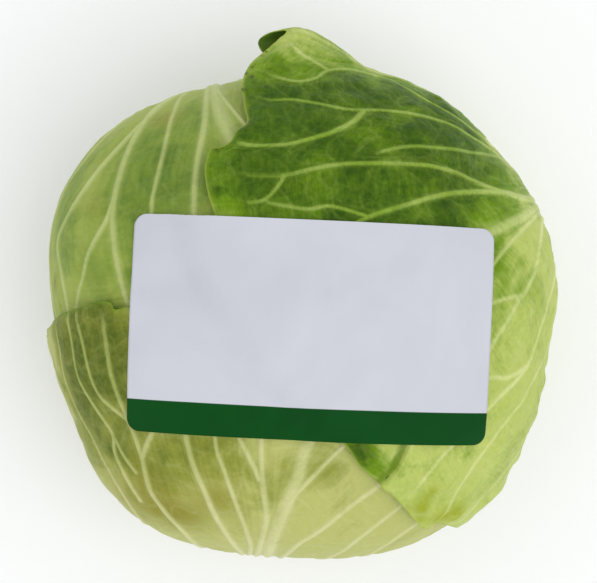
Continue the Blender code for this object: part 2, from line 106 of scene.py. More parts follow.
# Hermite curve through points at whole numbers of u, with tangents that never overshoot
def curveThrough(points, u):
    steps = np.diff(points, axis=0)
    lengths = np.linalg.norm(steps, axis=-1, keepdims=True) + 1e-12
    tangents = np.empty_like(points)
    tangents[0], tangents[-1] = steps[0], steps[-1]
    tangents[1:-1] = (steps[:-1] * lengths[1:] + steps[1:] * lengths[:-1]) / (lengths[1:] + lengths[:-1])
    i = np.clip(np.floor(u).astype(int), 0, len(points) - 2)
    f = (u - i)[..., None]
    rise = points[i] + (points[i + 1] - points[i]) * f * f * (3 - 2 * f)
    return rise + tangents[i] * f * (1 - f) ** 2 + tangents[i + 1] * f * f * (f - 1)


# A smooth curve through places on the head, read at even steps of its length
def lineOnHead(places, count):
    corners = aim(*np.array(places, float).T)
    fine = unit(curveThrough(corners, np.linspace(0, len(corners) - 1, 20 * len(corners))))
    run = np.concatenate([[0], np.cumsum(np.linalg.norm(np.diff(fine, axis=0), axis=1))])
    at = np.linspace(0, run[-1], count)
    return unit(np.stack([np.interp(at, run, fine[:, k]) for k in range(3)], axis=1))


# Least distance over the head from each direction to a broken line, and the share of the line where it is met
def nearestOnLine(d, line):
    flat = d.reshape(-1, 3)
    best = np.full(len(flat), far)
    share = np.zeros(len(flat))
    for k, (a, b) in enumerate(zip(line[:-1], line[1:])):
        side = b - a
        along = np.clip((flat - a) @ side / (side @ side), 0, 1)
        apart = np.linalg.norm(flat - a - along[:, None] * side, axis=1)
        nearer = apart < best
        best[nearer] = apart[nearer]
        share[nearer] = (k + along[nearer]) / (len(line) - 1)
    return (best * meanRadius).reshape(d.shape[:-1]), share.reshape(d.shape[:-1])


sampling = {
    "lineSamples": 240,  # along each line of a leaf
    "outlineStride": 2,
    "edgeSamples": 8,  # between two lines' ends, along the free edge
    "coverSamples": 60,  # each way over a leaf, where it asks what lies under it
    "veinSamples": 8,  # for each place on a vein
    "columnPull": 0.08,  # how much closer the columns are beside a line
}


# A leaf's lines read at even steps, its outline, and flat coordinates round its middle
class LeafPlan:
    def __init__(self, lines):
        self.raised = [kind != "plain" for kind, places in lines]
        self.lines = np.array([lineOnHead(places, sampling["lineSamples"]) for kind, places in lines])
        self.last = len(lines) - 1
        ends = np.linspace(0, self.last, self.last * sampling["edgeSamples"] + 1)
        edge = unit(curveThrough(self.lines[:, -1], ends))
        sides = self.lines[:, ::sampling["outlineStride"]]
        self.outline = np.concatenate([sides[0], edge, sides[-1, ::-1]])
        self.middle = unit(self.lines.mean(axis=(0, 1)))
        self.east = unit(np.cross([0.0, 0.0, 1.0], self.middle))

    # Each row is a smooth curve across the lines at one share of the way from foot to free edge
    def at(self, u, t):
        row = np.asarray(t) * (sampling["lineSamples"] - 1)
        j = np.clip(np.floor(row).astype(int), 0, sampling["lineSamples"] - 2)
        f = (row - j)[:, None, None]
        across = self.lines[:, j].swapaxes(0, 1) * (1 - f) + self.lines[:, j + 1].swapaxes(0, 1) * f
        return np.array([unit(curveThrough(points, u)) for points in across])

    # Bearing and distance from the middle of the leaf
    def flatten(self, d):
        x, y = d @ self.east, d @ np.cross(self.middle, self.east)
        reach = np.arccos(np.clip(d @ self.middle, -1, 1)) / (np.hypot(x, y) + 1e-12)
        return x * reach, y * reach

    # 1 over the leaf, falling softly to 0 outside it: a point with an odd number of crossings of the outline
    # to its right is inside
    def cover(self, d, ramp):
        flat = d.reshape(-1, 3)
        x, y = self.flatten(flat)
        px, py = self.flatten(self.outline)
        apart = np.full(len(flat), far)
        inside = np.zeros(len(flat), bool)
        for k, point in enumerate(self.outline):
            apart = np.minimum(apart, np.linalg.norm(flat - point, axis=1))
            qx, qy = px[k - 1], py[k - 1]
            crosses = (py[k] > y) != (qy > y)
            rise = qy - py[k] if qy != py[k] else 1e-12
            inside ^= crosses & (x < px[k] + (y - py[k]) * (qx - px[k]) / rise)
        away = np.where(inside, 0.0, apart * meanRadius)
        return softStep(1 - (away - layers["rampStart"]) / ramp).reshape(d.shape[:-1])


# Bilinear reading of a coarse grid of values at every row and column of the full grid
def spread(values, rows, columns, atRows, atColumns):
    byColumn = np.array([np.interp(np.arange(columns), atColumns, line) for line in values])
    return np.array([np.interp(np.arange(rows), atRows, line) for line in byColumn.T]).T


# A leaf's cover, worked out at some rows and columns of a grid and spread over the rest
def coverOnGrid(plan, d, ramp=layers["rampLength"]):
    rows, columns = d.shape[:2]
    samples = sampling["coverSamples"]
    atRows, atColumns = (np.unique(np.linspace(0, n - 1, samples).astype(int)) for n in (rows, columns))
    values = plan.cover(d[np.ix_(atRows, atColumns)], ramp)
    return spread(values, rows, columns, atRows, atColumns)


# Cross product of the grid's two directions gives the outward normal at each corner
def gridNormals(points):
    return unit(np.cross(np.gradient(points, axis=1), np.gradient(points, axis=0)) + 1e-15)


# A smooth mesh from its corners and faces, with one value at each corner for every mask
def smoothMesh(name, corners, faces, masks):
    mesh = bpy.data.meshes.new(name)
    mesh.from_pydata(corners.tolist(), [], faces)
    for mask, values in masks.items():
        mesh.attributes.new(mask, "FLOAT", "POINT").data.foreach_set("value", values.astype(np.float32))
    mesh.polygons.foreach_set("use_smooth", np.ones(len(mesh.polygons), bool))
    mesh.update()
    return mesh


# Puts a grid of outer corners and a coarser grid of inner corners into one closed mesh.
# The rim joins each inner edge to the run of outer edges beside it.
def sheetMesh(name, outer, inner, skip, uv, masks):
    o = np.arange(outer[..., 0].size).reshape(outer.shape[:2])
    i = o.size + np.arange(inner[..., 0].size).reshape(inner.shape[:2])
    faces = np.stack([o[:-1, :-1], o[:-1, 1:], o[1:, 1:], o[1:, :-1]], axis=-1).reshape(-1, 4).tolist()
    faces += np.stack([i[:-1, :-1], i[1:, :-1], i[1:, 1:], i[:-1, 1:]], axis=-1).reshape(-1, 4).tolist()
    chains = [(o[0, ::-1], i[0, ::-1]), (o[-1], i[-1]), (o[:, 0], i[:, 0]), (o[::-1, -1], i[::-1, -1])]
    for fine, coarse in chains:
        for k in range(len(coarse) - 1):
            faces.append(fine[k * skip:(k + 1) * skip + 1].tolist() + [int(coarse[k + 1]), int(coarse[k])])
    inside = (slice(None, None, skip), slice(None, None, skip))
    whole = {mask: np.concatenate([values.ravel(), values[inside].ravel()]) for mask, values in masks.items()}
    # The inner face's mask, along which a look lays painted shade on the underside
    whole["undersideShade"] = np.repeat([0.0, 1.0], [o.size, i.size])
    mesh = smoothMesh(name, np.concatenate([outer.reshape(-1, 3), inner.reshape(-1, 3)]), faces, whole)
    flatUv = np.concatenate([uv.reshape(-1, 2), uv[inside].reshape(-1, 2)])
    corner = np.empty(len(mesh.loops), np.int32)
    mesh.loops.foreach_get("vertex_index", corner)
    mesh.uv_layers.new(name="sheetMap").data.foreach_set("uv", flatUv[corner].astype(np.float32).ravel())
    return mesh


# Rings of corners from the lowest pole to the highest, each going round to the left, with one corner at a pole
def ringMesh(name, rings, masks):
    rows, segments = rings.shape[:2]
    i = 1 + np.arange((rows - 2) * segments).reshape(rows - 2, segments)
    on = np.roll(i, -1, axis=1)
    faces = np.stack([i[:-1], on[:-1], on[1:], i[1:]], axis=-1).reshape(-1, 4).tolist()
    faces += np.stack([on[0], i[0], np.zeros(segments, int)], axis=-1).tolist()
    faces += np.stack([i[-1], on[-1], np.full(segments, 1 + i.size)], axis=-1).tolist()
    corners = np.concatenate([rings[0, :1], rings[1:-1].reshape(-1, 3), rings[-1, :1]])
    whole = {m: np.concatenate([v[0, :1], v[1:-1].ravel(), v[-1, :1]]) for m, v in masks.items()}
    return smoothMesh(name, corners, faces, whole)


# A new object in the scene, at the origin
def linked(name, data):
    made = bpy.data.objects.new(name, data)
    bpy.context.scene.collection.objects.link(made)
    return made


# Links a finished mesh as a piece that stands in for its node
def addPiece(name, mesh, material, node):
    piece = linked(name, mesh)
    mesh.materials.append(material)
    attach(piece, "root")
    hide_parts(node)
    print(name, "has", sum(len(p.vertices) - 2 for p in mesh.polygons), "triangles")


# Column places of the grid: each gap between lines gets columns by its widest spacing, closer near the lines
def columnPlaces(plan, spacing, skip):
    widest = np.linalg.norm(np.diff(plan.lines, axis=0), axis=-1).max(axis=1) * meanRadius
    places = [np.zeros(1)]
    for i, width in enumerate(widest):
        count = skip * max(1, round(width / spacing / skip))
        s = np.arange(1, count + 1) / count
        places.append(i + s - sampling["columnPull"] * np.sin(fullTurn * s))
    return np.concatenate(places)


# Moves the rows near the free edge on to the edge's own curve.
# It passes the lines' ends and the leaf's own edge places, given as (line number, azimuth, elevation).
def shapeEdge(plan, d, u, t, extra, reach=0.22):
    knots = {float(i): plan.lines[i, -1] for i in range(plan.last + 1)}
    knots |= {float(place[0]): aim(*place[1:]) for place in extra}
    order = sorted(knots)
    index = np.interp(u, order, np.arange(len(order)))
    edge = unit(curveThrough(np.array([knots[k] for k in order]), index))
    share = softStep((t - 1 + reach) / reach)[:, None, None]
    return unit(d + (edge - d[-1])[None] * share)


ladderShape = {  # as shares of the way from the foot to the free edge
    "lowest": 0.12,
    "span": 0.87,
    "tilt": 0.05,
    "bow": 0.035,
    "ripple": 0.006,
    "wholeShare": 0.6,  # of these veins reach from rib to rib
    "parts": [(0.0, 0.55), (0.45, 1.0)],  # the others take one part of the way across
    "corners": 9,
}


# Ladder veins between neighbouring ribs: each climbs a little, bows towards the free edge, and some stop midway
def ladderVeins(plan, spacing, seed):
    random = np.random.default_rng(seed)
    stops = sorted({0, plan.last} | {i for i, up in enumerate(plan.raised) if up})
    found = []
    for a, b in zip(stops[:-1], stops[1:]):
        length = np.linalg.norm(np.diff(plan.lines[a], axis=0), axis=1).sum() * meanRadius
        count = int(length / spacing)
        for k in range(count):
            t0 = ladderShape["lowest"] + ladderShape["span"] * (k + random.uniform(0.1, 0.9)) / count
            tilt = random.uniform(-ladderShape["tilt"], ladderShape["tilt"])
            bow = random.uniform(0.0, ladderShape["bow"])
            whole = random.random() < ladderShape["wholeShare"]
            start, end = (0.0, 1.0) if whole else random.choice(ladderShape["parts"])
            s = np.linspace(start, end, ladderShape["corners"])
            ripple = ladderShape["ripple"] * np.sin(s * random.uniform(6, 14) + random.uniform(0, 6))
            t = np.clip(t0 + tilt * (s - 0.5) + bow * 4 * s * (1 - s) + ripple, 0.02, 1.0)
            path = np.array([plan.at(np.array([a + (b - a) * x]), np.array([y]))[0, 0] for x, y in zip(s, t)])
            found.append((a, b, path))
    return found


# In the upright plane of each azimuth, the lobe leaves the head's slope for a straight run and then a roll.
# Its new place is the sum of short steps at that slope, taken in by a share that grows along the leaf.
def rollLobe(points, d, lift, roll):
    azimuth = np.degrees(np.arctan2(d[:, 1], d[:, 0]))
    elevation = np.degrees(np.arcsin(np.clip(d[:, 2], -1, 1)))
    share = softStep((azimuth - roll["startAzimuth"]) / (roll["fullAzimuth"] - roll["startAzimuth"]))
    moved = np.where((share > 0) & (elevation < roll["top"]) & (azimuth < roll["lastAzimuth"]))[0]
    steps = np.linspace(0, 1, roll["steps"])
    levels = roll["top"] + (elevation[moved, None] - roll["top"]) * steps
    path = aim(np.repeat(azimuth[moved, None], len(steps), axis=1), levels)
    onHead = path * (heartRadius(path) + lift[moved, None])[..., None]
    out, up = np.hypot(onHead[..., 0], onHead[..., 1]), onHead[..., 2]
    dOut, dUp = np.diff(out, axis=1), np.diff(up, axis=1)
    step = np.hypot(dOut, dUp)
    run = np.cumsum(step, axis=1) - step / 2
    headSlope = np.arctan2(dUp, dOut)
    headSlope = np.where(headSlope > 0.5, headSlope - fullTurn, headSlope)
    atTip = softStep((azimuth[moved, None] - roll["tipStart"]) / roll["tipRamp"])
    straight = roll["straight"] + roll["flare"] * atTip
    rollSlope = headSlope[:, :1] - np.clip(run - straight, 0, None) / roll["radius"]
    slope = headSlope + (rollSlope - headSlope) * share[moved, None]
    newOut = out[:, 0] + (step * np.cos(slope)).sum(axis=1)
    newUp = up[:, 0] + (step * np.sin(slope)).sum(axis=1)
    a = np.radians(azimuth[moved])
    points = points.copy()
    points[moved] = np.stack([newOut * np.cos(a), newOut * np.sin(a), newUp], axis=1)
    return points


# The relief of a leaf and the masks that its material reads.
# Veins are round-topped ridges whose width and height fall along them, the stalk swells to its foot,
# and the blade rises softly away from every vein. A vein's mask falls evenly from its middle to a wide reach.
def leafRelief(plan, leaf, d, u):
    shape = d.shape[:2]
    height, veins, bold, ladder = np.zeros(shape), np.zeros(shape), np.zeros(shape), np.zeros(shape)
    nearest = np.full(shape, far)
    for kind, halfWidth, places in leaf["veins"]:
        apart, along = nearestOnLine(d, lineOnHead(places, sampling["veinSamples"] * len(places)))
        size = min(1.0, halfWidth / leaf["fullWidth"])
        fade = 1 - (1 - leaf["tipShare"]) * along
        taper = leaf["tipTaper"]
        end = 1 - softStep((along - (1 - taper)) / taper)
        end = end * (1 - leaf["tipFade"] * softStep((along - 0.5) / 0.5))
        width = np.maximum(halfWidth * fade, leaf["leastHalfWidth"])
        dome = (1 - np.clip(apart / width / leaf["ridgeReach"], 0, 1) ** 2) ** 2
        ridge = leaf["ribHeight"] * size * fade * end * dome
        strength = leaf["thinStrength"] + (1 - leaf["thinStrength"]) * size
        mask = np.clip(1 - apart / width / leaf["maskReach"], 0, 1)
        if kind == "stalk":
            thin = softStep(along / leaf["stalkReach"])
            broad = leaf["stalkHalfWidth"] + (leaf["stalkTipHalfWidth"] - leaf["stalkHalfWidth"]) * thin
            swell = leaf["stalkHeight"] * (1 - thin) * softStep(1 - apart / broad)
            ridge = np.maximum(ridge, swell + leaf["ribHeight"] * fade * end * softStep(1 - apart / broad))
            mask = np.maximum(mask, np.clip(1 - apart / broad / leaf["maskReach"], 0, 1))
        height = np.maximum(height, ridge)
        bold = np.where(mask > veins, strength * end, bold)
        veins = np.maximum(veins, mask)
        nearest = np.minimum(nearest, np.maximum(apart - width * leaf["ribClear"], 0))
    for a, b, path in ladderVeins(plan, leaf["ladderSpacing"], leaf["seed"]):
        here = np.where((u >= a) & (u <= b))[0]
        cut = (slice(None), slice(here[0], here[-1] + 1))
        apart, along = nearestOnLine(d[cut], path)
        ladder[cut] = np.maximum(ladder[cut], np.exp(-(apart / leaf["ladderHalfWidth"]) ** 2))
        nearest[cut] = np.minimum(nearest[cut], leaf["ladderSlack"] + apart)
    height = np.maximum(height, leaf["ladderHeight"] * ladder)
    pillow = leaf["pillow"] * (1 - np.exp(-((nearest / leaf["pillowReach"]) ** 2)))
    return height, pillow, {"vein": veins, "bold": bold, "ladder": ladder}


# A pleat: one soft step up to the left of its line, easing back over its reach, with a strip of painted shade
# to the right
def pleatRelief(pleat, d):
    line = lineOnHead(pleat["line"], sampling["veinSamples"] * len(pleat["line"]))
    flat = d.reshape(-1, 3)
    apart, share = nearestOnLine(flat, line)
    k = np.clip((share * (len(line) - 1)).astype(int), 0, len(line) - 2)
    left = np.sign(np.einsum("ij,ij->i", np.cross(line[k], line[k + 1]), flat))
    side = (left * apart).reshape(d.shape[:-1])
    ease = pleat["ease"]
    rise = softStep((side + ease / 2) / ease) * (1 - softStep(side / pleat["reach"]))
    return pleat["height"] * rise, softStep((side + pleat["dark"]) / ease) * softStep(-side / pleat["darkEase"])


label = {
    "width": 0.1136,
    "depth": 0.0686,
    "corner": 0.0040,
    "centre": (0.0030, -0.0045),
    "turn": -2.5,
    "thickness": 0.00025,
    "ramp": 0.014,  # over which the sheet eases down past a leaf's edge
    "sunk": 0.0003,  # nearer the leaves than the thick sheet that it replaces
    "sway": 0.00012,
    "swaySize": 0.022,
    "seed": 91,
    "margin": 0.006,  # the leaves lie quieter up to this far outside the sheet
    "band": 0.152,  # share of the depth that the green band takes
    "bandEdge": 0.002,
    "columns": 160,
    "rows": 90,
    "cornerRows": 8,
    "settlingSteps": 8,
    "bump": (0.15, 0.0001),
}


# 1 beneath the label's rectangle and 0 a little way outside it
def underLabel(points):
    turn = math.radians(label["turn"])
    x, y = points[..., 0] - label["centre"][0], points[..., 1] - label["centre"][1]
    across = np.abs(x * math.cos(turn) + y * math.sin(turn)) - label["width"] / 2
    down = np.abs(y * math.cos(turn) - x * math.sin(turn)) - label["depth"] / 2
    return softStep(1 - np.maximum(across, down) / label["margin"]) * (points[..., 2] > 0)


# Sum of soft round spots, each its strength times e to minus the squared distance over its radius
def spots(d, places):
    total = np.zeros(d.shape[:2])
    for azimuth, elevation, radius, strength in places:
        apart = np.linalg.norm(d - aim(azimuth, elevation), axis=-1) * meanRadius
        total += strength * np.exp(-((apart / radius) ** 2))
    return total


# The way to the nearest free border: the sum of the steps up to the edge or across to a side, whichever is
# less. Beside the foot the sides count as further off.
def borderGap(leaf, d, t):
    up = np.linalg.norm(np.diff(d, axis=0), axis=-1) * meanRadius
    across = np.linalg.norm(np.diff(d, axis=1), axis=-1) * meanRadius
    toEdge = np.vstack([np.cumsum(up[::-1], axis=0)[::-1], np.zeros((1, d.shape[1]))])
    fromFirst = np.hstack([np.zeros((len(t), 1)), np.cumsum(across, axis=1)])
    atFoot = softStep((leaf["slackEnd"] - t) / leaf["slackRamp"])[:, None]
    return np.minimum(toEdge, np.minimum(fromFirst, fromFirst[:, -1:] - fromFirst) + leaf["slack"] * atFoot)


# A leaf is a sheet at the heart's radius plus its lift, one step more over each leaf under it. Its border
# stands off in waves, and then cushions, puckers, the blade's thickness and the ribs are added along normals.
def buildLeaf(leaf, plan, under, look, rolled=None):
    skip = leaf["skip"]
    u = columnPlaces(plan, leaf["spacing"], skip)
    t = np.linspace(0, 1, leaf["rows"] * skip + 1) ** leaf["rowPower"]
    d = shapeEdge(plan, plan.at(u, t), u, t, leaf["edge"])
    lift = np.full(d.shape[:2], layers[leaf["layer"]])
    for lower in under:
        lift += layers["step"] * coverOnGrid(lower, d)
    gap = borderGap(leaf, d, t)
    height, pillow, masks = leafRelief(plan, leaf, d, u)
    labelled = underLabel(d * (heartRadius(d) + lift)[..., None])
    stained = spots(d, leaf["stain"])
    onHead = d * meanRadius
    upper = softStep((t - leaf["waveStart"]) / leaf["waveRamp"])[:, None]
    wave = 0.5 + 0.5 * swells(onHead, leaf["waveSize"], leaf["seed"] + 1)
    nearEdge = 1 - softStep(gap / leaf["waveReach"])
    wave = leaf["leastWave"] + (1 - leaf["leastWave"]) * np.clip(wave, 0, 1)
    stand = leaf["edgeStand"] * nearEdge * upper * wave * (1 - labelled)
    pucker = leaf["pucker"] * (0.5 + 0.5 * swells(onHead, leaf["puckerSize"], leaf["seed"] + 2)) * upper
    pucker = pucker * (1 - leaf["veinCalm"] * masks["vein"]) * (1 + leaf["crinkle"] * stained)
    pucker = pucker * (1 - leaf["labelCalm"] * labelled)
    pleat, shade = pleatRelief(leaf["pleat"], d) if leaf["pleat"] else np.zeros((2, *d.shape[:2]))
    base = d * (heartRadius(d) + lift + stand)[..., None]
    if rolled:
        base = rollLobe(base.reshape(-1, 3), d.reshape(-1, 3), (lift + stand).ravel(), rolled).reshape(d.shape)
    inland = softStep(gap / leaf["thinReach"])
    soft = pillow + pucker * inland + pleat
    blade = leaf["edgeBlade"] + (leaf["blade"] - leaf["edgeBlade"]) * inland
    ribs = height * softStep(gap / leaf["ribReach"])
    normals = gridNormals(base)
    outer = base + normals * (soft + blade + ribs)[..., None]
    inner = (base + normals * soft[..., None])[::skip, ::skip]
    for points in (outer, inner):
        points[..., 2] += head["centreHeight"]
    masks |= {
        "stain": stained,
        "mark": spots(d, leaf["marks"]),
        "rim": 1 - softStep(gap / leaf["rimWidth"]),
        "nearRim": 1 - softStep(gap / leaf["speckReach"]),
        # tone: the leaf's own greenness, partly painted shade
        "toneAndShade": np.clip(spots(d, leaf["toneAndShade"]), 0, leaf["fullTone"]),
        "shade": shade,
        "foot": 1 - softStep((t[:, None] - leaf["footStart"]) / leaf["footRamp"]) * np.ones(len(u)),
    }
    uv = np.stack(np.broadcast_arrays(u[None, :] / plan.last, t[:, None]), axis=-1)
    mesh = sheetMesh(leaf["name"], outer, inner, skip, uv, masks)
    addPiece(leaf["name"], mesh, leafMaterial(leaf["name"], look), leaf["node"])


# Colours as they look on a screen, 0 to 255, made linear
def paint(red, green, blue):
    screen = np.array([red, green, blue]) / 255.0
    linear = np.where(screen <= 0.04045, screen / 12.92, ((screen + 0.055) / 1.055) ** 2.4)
    return (*[float(c) for c in linear], 1.0)


# A short way to add nodes, set their values and join them
class Wiring:
    def __init__(self, tree):
        self.tree = tree

    # Joins a socket to another node's socket, or sets it to a value
    def give(self, socket, value):
        if isinstance(value, bpy.types.NodeSocket):
            self.tree.links.new(value, socket)
        else:
            socket.default_value = value

    # A node with its settings made, and then its sockets filled
    def node(self, kind, values=None, **settings):
        made = self.tree.nodes.new(kind)
        for name, value in settings.items():
            setattr(made, name, value)
        for name, value in (values or {}).items():
            self.give(made.inputs[name], value)
        return made

    # One of the shader node groups, placed with its own values
    def group(self, tree, values):
        return self.node("ShaderNodeGroup", values, node_tree=tree)

    # a and b joined by one of the math node's operations
    def math(self, operation, a, b, clamp=False):
        return self.node("ShaderNodeMath", {0: a, 1: b}, operation=operation, use_clamp=clamp).outputs[0]

    # a times b
    def times(self, a, b):
        return self.math("MULTIPLY", a, b)

    # a plus b
    def plus(self, a, b, clamp=False):
        return self.math("ADD", a, b, clamp)

    # A value less a half, times a strength
    def centred(self, value, strength):
        return self.times(self.math("SUBTRACT", value, 0.5), strength)

    # Two vectors joined number by number
    def vector(self, operation, a, b):
        return self.node("ShaderNodeVectorMath", {0: a, 1: b}, operation=operation).outputs[0]

    # The colour a gives way to b by a factor
    def mix(self, factor, a, b, blend="MIX"):
        values = {"Factor": factor, 6: a, 7: b}  # 6 and 7 are the node's colour sockets
        return self.node("ShaderNodeMix", values, data_type="RGBA", blend_type=blend).outputs[2]

    # A second colour laid over the first by a mask times a share
    def over(self, below, above, mask, share, blend="MIX"):
        return self.mix(self.times(mask, share), below, above, blend)

    # A soft step from one value at low to another at high
    def spanOf(self, value, low, high, toLow=0.0, toHigh=1.0):
        values = {"Value": value, "From Min": low, "From Max": high, "To Min": toLow, "To Max": toHigh}
        return self.node("ShaderNodeMapRange", values, interpolation_type="SMOOTHSTEP").outputs["Result"]

    # Soft noise between 0 and 1
    def noise(self, vector, scale, detail=3.0, rough=0.5, warp=0.0):
        values = {"Vector": vector, "Scale": scale, "Detail": detail, "Roughness": rough, "Distortion": warp}
        return self.node("ShaderNodeTexNoise", values).outputs["Fac"]

    # The piece's own coordinates in metres, and the map that follows a sheet from 0 to 1 each way
    def places(self):
        sheetMap = self.node("ShaderNodeUVMap", uv_map="sheetMap").outputs["UV"]
        return self.node("ShaderNodeTexCoord").outputs["Object"], sheetMap

    # A mask of the piece's mesh
    def mask(self, name):
        return self.node("ShaderNodeAttribute", attribute_name=name).outputs["Fac"]


# An empty shader node group. An input's first value tells its kind: None is a vector, four numbers a colour
def newGroup(name, inputs, outputs):
    group = bpy.data.node_groups.new(name, "ShaderNodeTree")
    for title, value in inputs.items():
        kind = "Vector" if value is None else "Color" if isinstance(value, tuple) else "Float"
        socket = group.interface.new_socket(title, in_out="INPUT", socket_type="NodeSocket" + kind)
        if value is not None:
            socket.default_value = value
    for title in outputs:
        kind = "NodeSocketColor" if title == "Colour" else "NodeSocketFloat"
        group.interface.new_socket(title, in_out="OUTPUT", socket_type=kind)
    wiring = Wiring(group)
    return group, wiring, wiring.node("NodeGroupInput").outputs, wiring.node("NodeGroupOutput").inputs


# Soft patches and grain: noise at a coarse and a fine scale, each stretched to go from 0 to 1
def mottleGroup():
    inputs = {"Vector": None, "Coarse": 55.0, "Fine": 260.0}
    group, w, given, out = newGroup("mottle", inputs, ["Patches", "Grain"])
    coarse = w.noise(given["Vector"], given["Coarse"], 3.0, 0.55, 0.4)
    fine = w.noise(given["Vector"], given["Fine"], 3.0, 0.6)
    w.give(out["Patches"], w.spanOf(coarse, 0.3, 0.7))
    w.give(out["Grain"], w.spanOf(fine, 0.25, 0.75))
    return group


# The finest veins: edges of cells at two sizes, their places shifted by noise. Cushions rise between them
def cellGroup():
    inputs = {"Vector": None, "Scale": 150.0, "Warp": 0.004}
    group, w, given, out = newGroup("cellNet", inputs, ["Lines", "Cushion"])
    bend = w.node("ShaderNodeTexNoise", {"Vector": given["Vector"], "Scale": 110.0, "Detail": 2.0})
    shift = w.vector("SUBTRACT", bend.outputs["Color"], (0.5, 0.5, 0.5))
    scaled = w.node("ShaderNodeVectorMath", {0: shift, "Scale": given["Warp"]}, operation="SCALE").outputs[0]
    warped = w.vector("ADD", given["Vector"], scaled)

    # Distance to the nearest cell's edge
    def toEdge(scale):
        values = {"Vector": warped, "Scale": scale}
        return w.node("ShaderNodeTexVoronoi", values, feature="DISTANCE_TO_EDGE").outputs["Distance"]

    large = toEdge(given["Scale"])
    little = w.spanOf(toEdge(w.times(given["Scale"], 2.6)), 0.0, 0.12, 0.45, 0.0)
    w.give(out["Lines"], w.math("MAXIMUM", w.spanOf(large, 0.0, 0.12, 1.0, 0.0), little))
    w.give(out["Cushion"], w.spanOf(large, 0.0, 0.35))
    return group


# Long faint lines that run along the veins, and short ones that cross between them: noise stretched each way
def streakGroup():
    inputs = {"Vector": None, "Across": 90.0, "Along": 190.0}
    group, w, given, out = newGroup("streaks", inputs, ["Lengthwise", "Crosswise"])
    long = w.node("ShaderNodeCombineXYZ", {"X": given["Across"], "Y": 2.5, "Z": 1.0}).outputs[0]
    short = w.node("ShaderNodeCombineXYZ", {"X": 46.0, "Y": given["Along"], "Z": 1.0}).outputs[0]
    lengthwise = w.noise(w.vector("MULTIPLY", given["Vector"], long), 1.0, 4.0, 0.6)
    crosswise = w.noise(w.vector("MULTIPLY", given["Vector"], short), 1.0, 3.0, 0.6, 0.8)
    w.give(out["Lengthwise"], w.spanOf(lengthwise, 0.35, 0.65))
    w.give(out["Crosswise"], w.spanOf(crosswise, 0.35, 0.65))
    return group


# Small round specks in a few of many cells
def speckGroup():
    group, w, given, out = newGroup("specks", {"Vector": None, "Scale": 260.0, "Share": 0.1}, ["Mask"])
    cells = w.node("ShaderNodeTexVoronoi", {"Vector": given["Vector"], "Scale": given["Scale"]})
    dice = w.node("ShaderNodeSeparateColor", {"Color": cells.outputs["Color"]}).outputs[0]
    picked = w.math("LESS_THAN", dice, given["Share"])
    w.give(out["Mask"], w.times(picked, w.spanOf(cells.outputs["Distance"], 0.10, 0.24, 1.0, 0.0)))
    return group


mottle, cellNet, streakLines, specks = mottleGroup(), cellGroup(), streakGroup(), speckGroup()

skin = {
    "paleToMiddle": (0.06, 0.58),  # the tones over which one colour step gives way to the next
    "middleToGreen": (0.45, 1.0),
    "halo": (0.0, 0.75),  # the parts of a vein's mask that its soft border and its core take
    "core": (0.44, 0.86),
    "paleShare": 0.3,  # how much of the grain and the dull freckles the palest skin shows
    "dull": paint(160, 172, 120),
    "freckleScale": 850.0,
    "sheenAndBloomScale": 22.0,
    "sheenAndBloomGrainScale": 520.0,
    "blisterScale": 420.0,
    "poreScale": 1400.0,
    "coreGrain": 0.25,
    # share of the painted shade in the strip beside a pleat
    "pleatShadeShare": 0.8,
    "sheenAndBloomRoughness": 0.18,
    "streakHeight": 0.12,
    "poreHeight": 0.10,
    "bump": (0.45, 0.0004),
}


